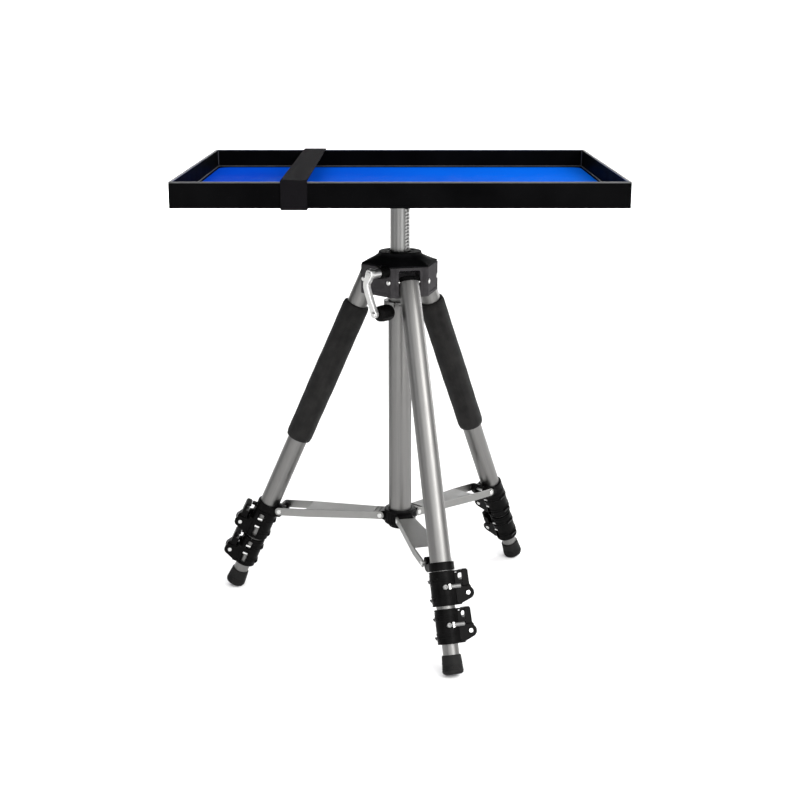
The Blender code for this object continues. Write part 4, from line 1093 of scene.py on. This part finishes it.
def lock_shape(top, radius, pivot, tube, inner_tube, tube_end):
    low_z = top + LOCK_LENGTH
    profile = [(5.0, -low_z), (radius, -low_z), (radius, -top), (5.0, -top)]
    body = turned(fillet(profile, [0, 1.0, 1.0, 0], 4), 64)
    body = join(body, prism(fillet([(-9.2, 6.0), (9.2, 6.0), (9.2, radius + 2.3), (-9.2, radius + 2.3)], [0, 0, 0.8, 0.8], 3), -low_z + 0.02, -top - 15.2, chamfer=0.5))
    edge = pivot - 5.4 - 0.5
    ear = fillet([(8.0, -top - 19.0), (edge, -top - 19.0), (edge, -top - 0.8), (8.0, -top - 0.8)], [0, 0, 1.2, 0], 4)
    body = join(body, prism(ear, 5.2, 9.2, ALONG_X, chamfer=0.5))
    inner_y = radius + 0.5
    finger = fillet([(inner_y, -top - 11.6), (edge + 3, -top - 11.6), (edge + 3, -top - 3.6), (inner_y, -top - 3.6)], [2.4, 0, 0, 2.4], 6)
    body = cut(body, prism(finger, 2.0, 30, ALONG_X))
    bridge = [(8.0, -top - 3.5), (edge, -top - 3.5), (edge, -top - 0.35), (8.0, -top - 0.35)]
    body = join(body, prism(fillet(bridge, [0, 0, 1.0, 0], 3), 3.4, 9.0, ALONG_X))
    s = top + LOCK_PIVOT_DROP
    for side in (-1, 1):
        edges = sorted((side * 5.3, side * 9.2))
        plate = arc(pivot, -s, 7.2, -58, 90, 14) + [(8.0, -s + 7.2), (8.0, -low_z + 0.5), (radius + 0.6, -low_z + 0.5)]
        body = join(body, prism(plate, edges[0], edges[1], ALONG_X, chamfer=0.5))
    # moulded bands round the sleeve
    for z in (-top - 2.6, -low_z + 2.6):
        body = cut(body, sleeve(radius + 2, radius - 0.5, z - 0.45, z + 0.45, 0.1, 64))
    for z in (-top - 8.6, -top - 12.0, -low_z + 8.0, -low_z + 11.4):
        band = sleeve(radius + 0.55, radius - 2, z - 0.8, z + 0.8, 0.4, 64)
        band = cut(band, block((-60, 60), (4.0, 60), (z - 3, z + 3)))
        body = join(body, band)
    # window in the split, with the clamp bolt lying across it
    window = prism(fillet([(-5.8, -top - 21.5), (17.2, -top - 21.5), (17.2, -top - 14.9), (-5.8, -top - 14.9)], [3.2, 1.0, 1.0, 3.2], 6), tube + 1.0, 60, ALONG_X)
    body = cut(body, window)
    step_in = prism([(6.0, -top - 20.4), (16.4, -top - 20.4), (16.4, -top - 16.0), (6.0, -top - 16.0)], 5.0, 60, ALONG_X)
    body = cut(body, step_in)
    # ribs under the split line on the far side
    for k in range(5):
        z = -top - 8.0 - k * 5.6
        body = cut(body, prism(fillet([(-11, z - 0.6), (0.5, z - 0.6), (0.5, z + 0.6), (-11, z + 0.6)], 0.55, 3), -radius - 8, -radius + 0.55, ALONG_X))
    # small hooks that stand out on the side away from the lever
    for z in (-top - 10.5, -low_z + 7.5):
        hook = prism(fillet([(-radius - 1.9, z + 1.5), (-radius + 3, z + 1.5), (-radius + 3, z - 2.2), (-radius - 0.4, z - 2.2)], [0.5, 0, 0, 0.4], 3), -5.5, 5.5, ALONG_X, chamfer=0.3)
        body = join(body, hook)
    # openings along the split on the inner side, where the tube and the clamp screws are seen
    for z0, z1 in ((-top - 15.0, -top - 3.6), (-low_z + 2.0, -top - 19.4)):
        opening = prism(fillet([(0.2, z0), (7.0, z0), (7.0, z1), (0.2, z1)], 1.0, 3), -40, -tube + 3.5, ALONG_X)
        body = cut(body, opening)
    bore = turned([(0, -low_z - 5), (inner_tube + GAP, -low_z - 5), (inner_tube + GAP, -tube_end - GAP), (tube + GAP, -tube_end - GAP), (tube + GAP, -top + 5), (0, -top + 5)], 64, closed=False)
    body = cut(body, bore)
    return cut(body, rod((-20, pivot, -s), (20, pivot, -s), 3.2, 28))


def lever_shape():
    foot = fillet(arc(0, 0, 6.4, 180, 360, 14) + [(5.6, 7.0), (2.8, 11.5), (-3.0, 11.5), (-5.8, 4.0)], [0] * 15 + [0.6, 0.8, 0.8, 1.2], 3)
    body = prism(foot, -4.9, 4.9, ALONG_X, chamfer=0.4)
    arm_side = fillet([(-5.4, 8.2), (2.2, 8.2), (2.8, 11.0), (2.4, 25.4), (0.8, 27.2), (-3.8, 27.2), (-5.4, 25.6)], [0.8, 1.2, 2, 2, 1.2, 1.2, 1], 4)
    body = join(body, prism(arm_side, -8.8, 8.8, ALONG_X, chamfer=0.7, rounds=3))
    body = join(body, rod((-9.4, 0, 0), (9.4, 0, 0), 2.9, 32, 0.3))
    # scallop for the finger, slanting back from the gap in the lock's cheek
    scoop = prism(fillet([(-14.0, 15.2), (-5.3, 15.2), (-5.3, 22.8), (-14.0, 22.8)], [0, 1.8, 1.8, 0], 5), -24.0, 9.2, ALONG_X)
    bmesh.ops.transform(scoop, matrix=Matrix(((1, 0, 0, 0), (-0.272, 1, 0, 0.272 * 9.2), (-0.15, 0, 1, 0.15 * 9.2), (0, 0, 0, 1))), verts=scoop.verts[:])
    body = cut(body, scoop)
    # thumb ridges on the outer face
    for k in range(4):
        z = 13.2 + 3.2 * k
        body = cut(body, rod((-6.6, 3.25, z), (6.6, 3.25, z), 0.85, 16))
    return body


def foot_shape():
    ringed = fillet([(0, -452.6), (9.4, -452.3), (11.4, -451.0), (12.3, -448.6), (12.1, -447.6)], [0, 1.0, 1.2, 1.2, 0], 3, closed=False)
    for s in (446.6, 444.2, 441.8):
        r = 12.3 - (448.6 - s) / 8.6 * 0.7
        ringed += [(r, -s - 0.55), (r - 0.45, -s - 0.3), (r - 0.45, -s + 0.3), (r, -s + 0.55)]
    ringed += [(11.6, -440.0), (10.9, -431.6), (10.4, -430.7), (9.9, -430.6)]
    ringed += [(LOWER_R + GAP, -430.6), (LOWER_R + GAP, -LOWER_END - GAP), (0, -LOWER_END - GAP)]
    return turned(ringed, 64, closed=False)


shared = {}


def shared_piece(key, name, build, look, body, at, stands_for=(), sharp=30):
    """Equal pieces on the three legs share one mesh."""
    if key not in shared:
        made = piece(name, build(), look, body, at, stands_for, sharp=sharp)
        shared[key] = made.data
        return made
    made = bpy.data.objects.new(name, shared[key])
    scene.collection.objects.link(made)
    made.matrix_world = metres(at)
    step = made.modifiers.new("Weighted Normal", "WEIGHTED_NORMAL")
    step.keep_sharp = True
    step.weight = 60
    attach(made, body)
    if stands_for:
        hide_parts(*stands_for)
    return made


def foam_shape():
    """Foam sleeve: skinned, slightly full between its ends, rolled rims."""
    profile = [(UPPER_R + GAP, -GRIP_S1), (GRIP_R - 2.6, -GRIP_S1)]
    n = 46
    for k in range(n + 1):
        f = k / n
        s = GRIP_S1 - 0.8 - (GRIP_S1 - GRIP_S0 - 1.6) * f
        roll = min(1.0, (GRIP_S1 - s) / 4.5, (s - GRIP_S0) / 4.5)
        r = GRIP_R - 2.2 * (1 - sqrt(max(0.0, 1 - (1 - roll) ** 2)))
        waist = 0.16 * sin(s * 0.055) + 0.09 * sin(s * 0.21 + 1.0)
        profile.append((min(GRIP_R, r - 0.2 + waist * min(1.0, roll)), -s))
    profile += [(GRIP_R - 2.6, -GRIP_S0), (UPPER_R + GAP, -GRIP_S0)]
    return turned(profile, 64)


for name, azimuth, lock_turn in zip(LEG_NAMES, LEG_AZIMUTHS, LOCK_TURNS):
    leg = leg_frame(azimuth)
    body = f"leg_{name}"

    def upper():
        tube = sleeve(UPPER_R, UPPER_R - WALL, -UPPER_END, -0.4, 0.3, 72)
        return cut(tube, rod((0, -30, 0), (0, 30, 0), HINGE_PIN_R + GAP, 24))

    shared_piece("upper", f"upper_leg_{name}", upper, "tube", body, leg, [f"upper_tube_{name}"])
    # plastic fork end inside the tube's mouth, round the hinge pin
    def liner():
        inner = UPPER_R - WALL - 0.1
        end = turned(fillet([(0, -14), (inner, -14), (inner, -0.1), (UPPER_R, -0.1), (UPPER_R, 5.0), (0, 5.0)], [0, 0.4, 0, 0.2, 1.6, 0], 4, closed=False), 64, closed=False)
        return cut(end, rod((0, -30, 0), (0, 30, 0), HINGE_PIN_R + GAP, 24))

    shared_piece("liner", f"leg_end_{name}", liner, "plastic", body, leg)
    if name != "front":
        foam = shared_piece("foam", f"foam_sleeve_{name}", foam_shape, "foam", body, leg, [f"foam_grip_{name}"], sharp=60)
    shared_piece("collar", f"collar_{name}", collar_shape, "plastic", body, leg, [f"brace_collar_{name}"])

    def brace_pin():
        return rod((-PIN_X, -15.6, -PIN_S), (-PIN_X, 15.6, -PIN_S), 2.0, 28, 0.2)

    shared_piece("brace_pin", f"collar_pin_{name}", brace_pin, "steel", body, leg, [f"brace_pin_{name}"])
    turned_frame = leg @ Matrix.Rotation(radians(lock_turn), 4, "Z")
    for level, top, radius, pivot, size, inner, end_s, rides, lever_body in (
        ("upper", LOCK1_S, LOCK1_R, LOCK1_PIVOT, UPPER_R, MID_R, UPPER_END, body, f"upper_lever_{name}"),
        ("lower", LOCK2_S, LOCK2_R, LOCK2_PIVOT, MID_R, LOWER_R, MID_END, f"mid_section_{name}", f"lower_lever_{name}"),
    ):
        shared_piece(
            "lock_" + level, f"lock_{level}_body_{name}",
            lambda: lock_shape(top, radius, pivot, size, inner, end_s), "plastic", rides, turned_frame, [f"lock_{level}_{name}"],
        )
        shared_piece("lever", f"lock_{level}_lever_{name}", lever_shape, "plastic", lever_body,
                     turned_frame @ Matrix.Translation((0, pivot, -top - LOCK_PIVOT_DROP)), [f"lever_{level}_{name}"])

        def clamp_bolt():
            z = -top - 18.2
            eye = turned(fillet([(0, 0), (2.9, 0), (2.9, 3.4), (1.3, 3.4), (1.1, 2.9), (0, 2.9)], [0, 0, 0.7, 0.1, 0.1, 0], 3, closed=False), 32, closed=False)
            eye.transform(Matrix.Translation((size + 1.3, -2.3, z)) @ Matrix.Rotation(pi / 2, 4, "Y"))
            shank = rod((size - 0.6 if size < UPPER_R else 8.0, 4.4, z), (size - 0.6 if size < UPPER_R else 8.0, 15.6, z), 2.35, 28, 0.3)
            shank.transform(Matrix.Translation((size + 2.6 - (size - 0.6 if size < UPPER_R else 8.0), 0, 0)))
            return add(eye, shank)

        shared_piece("bolt_" + level, f"lock_{level}_bolt_{name}", clamp_bolt, "bolt", rides, turned_frame)

        def clamp_nut():
            nut = prism(fillet([(-1.35, -3.0), (1.35, -3.0), (1.35, 3.0), (-1.35, 3.0)], 0.5, 2), 0, 3.7, ALONG_X, chamfer=0.3)
            nut.transform(Matrix.Translation((size + 1.3, 2.6, -top - 18.2)))
            # screws across the openings on the inner side
            for z in (-top - 11.6, -top - 22.6):
                add(nut, rod((-size - 0.2, 0.5, z), (-size - 0.2, 6.7, z), 1.5, 24, 0.3))
            return nut

        shared_piece("nut_" + level, f"lock_{level}_nut_{name}", clamp_nut, "steel", rides, turned_frame)

        def pivot_caps():
            caps = None
            for side in (-1, 1):
                cap_ = turned(fillet([(0, 0), (2.55, 0), (2.3, 0.35), (0, 0.45)], [0, 0, 0.2, 0], 2, closed=False), 28, closed=False)
                cap_.transform(Matrix.Translation((side * 9.35, 0, 0)) @ Matrix.Rotation(side * pi / 2, 4, "Y"))
                caps = cap_ if caps is None else add(caps, cap_)
            return caps

        shared_piece("pivot_caps", f"lock_{level}_pivot_{name}", pivot_caps, "steel", lever_body,
                     turned_frame @ Matrix.Translation((0, pivot, -top - LOCK_PIVOT_DROP)))
    shared_piece("mid", f"mid_leg_{name}", lambda: sleeve(MID_R, MID_R - WALL, -MID_END, -MID_TOP, 0.35, 64), "tube", f"mid_section_{name}", leg, [f"mid_tube_{name}"])
    shared_piece("lower", f"lower_leg_{name}", lambda: sleeve(LOWER_R, LOWER_R - WALL, -LOWER_END, -LOWER_TOP, 0.35, 64), "tube", f"lower_section_{name}", leg, [f"lower_tube_{name}"])
    rubber = foot_shape()
    rubber.transform(leg)
    piece(f"rubber_foot_{name}", rubber, "rubber", f"lower_section_{name}", Identity, [f"foot_{name}"], sharp=40)

# ---------------------------------------------------------------- floor, light and camera

floor_bm = bmesh.new()
R, WIDE, DEEP = 1.6, 14.0, 7.0
sweep = [(-6.0, 0.0), (DEEP - R, 0.0)] + [(DEEP - R + R * sin(radians(a)), R - R * cos(radians(a))) for a in range(5, 91, 5)] + [(DEEP, 2.3)]
rows = []
for y, z in sweep:
    rows.append([floor_bm.verts.new((x, y, z)) for x in (-WIDE, 0, WIDE)])
for a, b in zip(rows, rows[1:]):
    for i in range(2):
        floor_bm.faces.new((a[i], a[i + 1], b[i + 1], b[i]))
floor = loose(floor_bm, "floor")
floor.data.shade_smooth()
paper = Graph("floor_paper", (0.93, 0.93, 0.93), 0.85, 0.0, Specular_IOR_Level=0.12)
tooth = paper.noise(220.0, 3.0, 0.6)
paper.to(paper.span(tooth, 0.82, 0.9, (0.3, 0.7)), "Roughness")
floor.data.materials.append(paper.made)

world = bpy.data.worlds.new("studio")
world.use_nodes = True
scene.world = world
sky = world.node_tree
where = sky.nodes.new("ShaderNodeTexCoord")
split = sky.nodes.new("ShaderNodeSeparateXYZ")
sky.links.new(where.outputs["Generated"], split.inputs["Vector"])
height = sky.nodes.new("ShaderNodeValToRGB")
lift = sky.nodes.new("ShaderNodeMapRange")
lift.inputs["From Min"].default_value, lift.inputs["From Max"].default_value = -1.0, 1.0
sky.links.new(split.outputs["Z"], lift.inputs["Value"])
sky.links.new(lift.outputs["Result"], height.inputs["Fac"])
stops = height.color_ramp.elements
stops[0].position, stops[0].color = 0.40, (0.42, 0.42, 0.42, 1)
stops[1].position, stops[1].color = 0.56, (0.13, 0.13, 0.135, 1)
mid_stop = stops.new(0.50)
mid_stop.color = (0.30, 0.30, 0.305, 1)
side = sky.nodes.new("ShaderNodeMapRange")
side.interpolation_type = "SMOOTHSTEP"
side.inputs["From Min"].default_value, side.inputs["From Max"].default_value = -0.9, 0.95
side.inputs["To Min"].default_value, side.inputs["To Max"].default_value = 0.55, 1.9
sky.links.new(split.outputs["X"], side.inputs["Value"])
front = sky.nodes.new("ShaderNodeMapRange")
front.interpolation_type = "SMOOTHSTEP"
front.inputs["From Min"].default_value, front.inputs["From Max"].default_value = 0.15, -0.85
front.inputs["To Min"].default_value, front.inputs["To Max"].default_value = 0.0, 0.62
sky.links.new(split.outputs["Y"], front.inputs["Value"])
above = sky.nodes.new("ShaderNodeMapRange")
above.interpolation_type = "SMOOTHSTEP"
above.inputs["From Min"].default_value, above.inputs["From Max"].default_value = 0.12, 0.5
sky.links.new(split.outputs["Z"], above.inputs["Value"])
panel = sky.nodes.new("ShaderNodeMath")
panel.operation = "MULTIPLY"
sky.links.new(front.outputs["Result"], panel.inputs[0])
sky.links.new(above.outputs["Result"], panel.inputs[1])
both = sky.nodes.new("ShaderNodeVectorMath")
both.operation = "ADD"
sky.links.new(height.outputs["Color"], both.inputs[0])
sky.links.new(panel.outputs["Value"], both.inputs[1])
sky.links.new(both.outputs["Vector"], sky.nodes["Background"].inputs["Color"])
sky.links.new(side.outputs["Result"], sky.nodes["Background"].inputs["Strength"])


def area(name, place, target, size, power, colour=(1, 1, 1), size_y=None):
    data = bpy.data.lights.new(name, "AREA")
    data.shape = "RECTANGLE"
    data.size = size
    data.size_y = size_y or size
    data.energy = power
    data.color = colour
    made = bpy.data.objects.new(name, data)
    scene.collection.objects.link(made)
    made.location = place
    made.rotation_euler = (Vector(target) - Vector(place)).to_track_quat("-Z", "Y").to_euler()
    return made


def sun(name, way, strength, spread):
    data = bpy.data.lights.new(name, "SUN")
    data.energy = strength
    data.angle = radians(spread)
    made = bpy.data.objects.new(name, data)
    scene.collection.objects.link(made)
    made.rotation_euler = (-Vector(way)).to_track_quat("-Z", "Y").to_euler()
    return made


sun("overhead", (0.25, -0.2, 1.0), 2.9, 125)
area("key", (1.5, -1.5, 1.5), (0, 0, 0.3), 0.9, 26, (1, 0.99, 0.97))
area("front_soft", (0.30, -0.62, 0.36), (0.05, -0.13, 0.2), 0.3, 1.5, (1, 1, 1), 0.5)
area("front_soft_left", (-0.22, -0.80, 0.42), (0.05, -0.13, 0.22), 0.45, 1.5, (1, 1, 1), 0.6)
area("rim_right", (1.25, 0.9, 0.9), (0, 0, 0.3), 0.28, 12, (1, 1, 1), 1.5)
area("fill_left", (-1.7, -0.9, 0.9), (0, 0, 0.3), 0.5, 5, (0.97, 0.98, 1.0), 1.4)
area("backdrop_glow", (0.0, 4.4, 3.2), (0, 7.0, 0.8), 5.0, 300)

camera_data = bpy.data.cameras.new("camera")
camera = bpy.data.objects.new("camera", camera_data)
scene.collection.objects.link(camera)
camera.location = (0.0, -1.648 + COLUMN_Y / 1000, 0.706)
camera.rotation_euler = (radians(75.0), 0, 0)
camera_data.sensor_width = 36.0
camera_data.lens = 1398 / 800 * 36.0
camera_data.clip_start, camera_data.clip_end = 0.05, 60.0
scene.camera = camera
scene.view_settings.view_transform = "Standard"

bpy.context.view_layer.update()
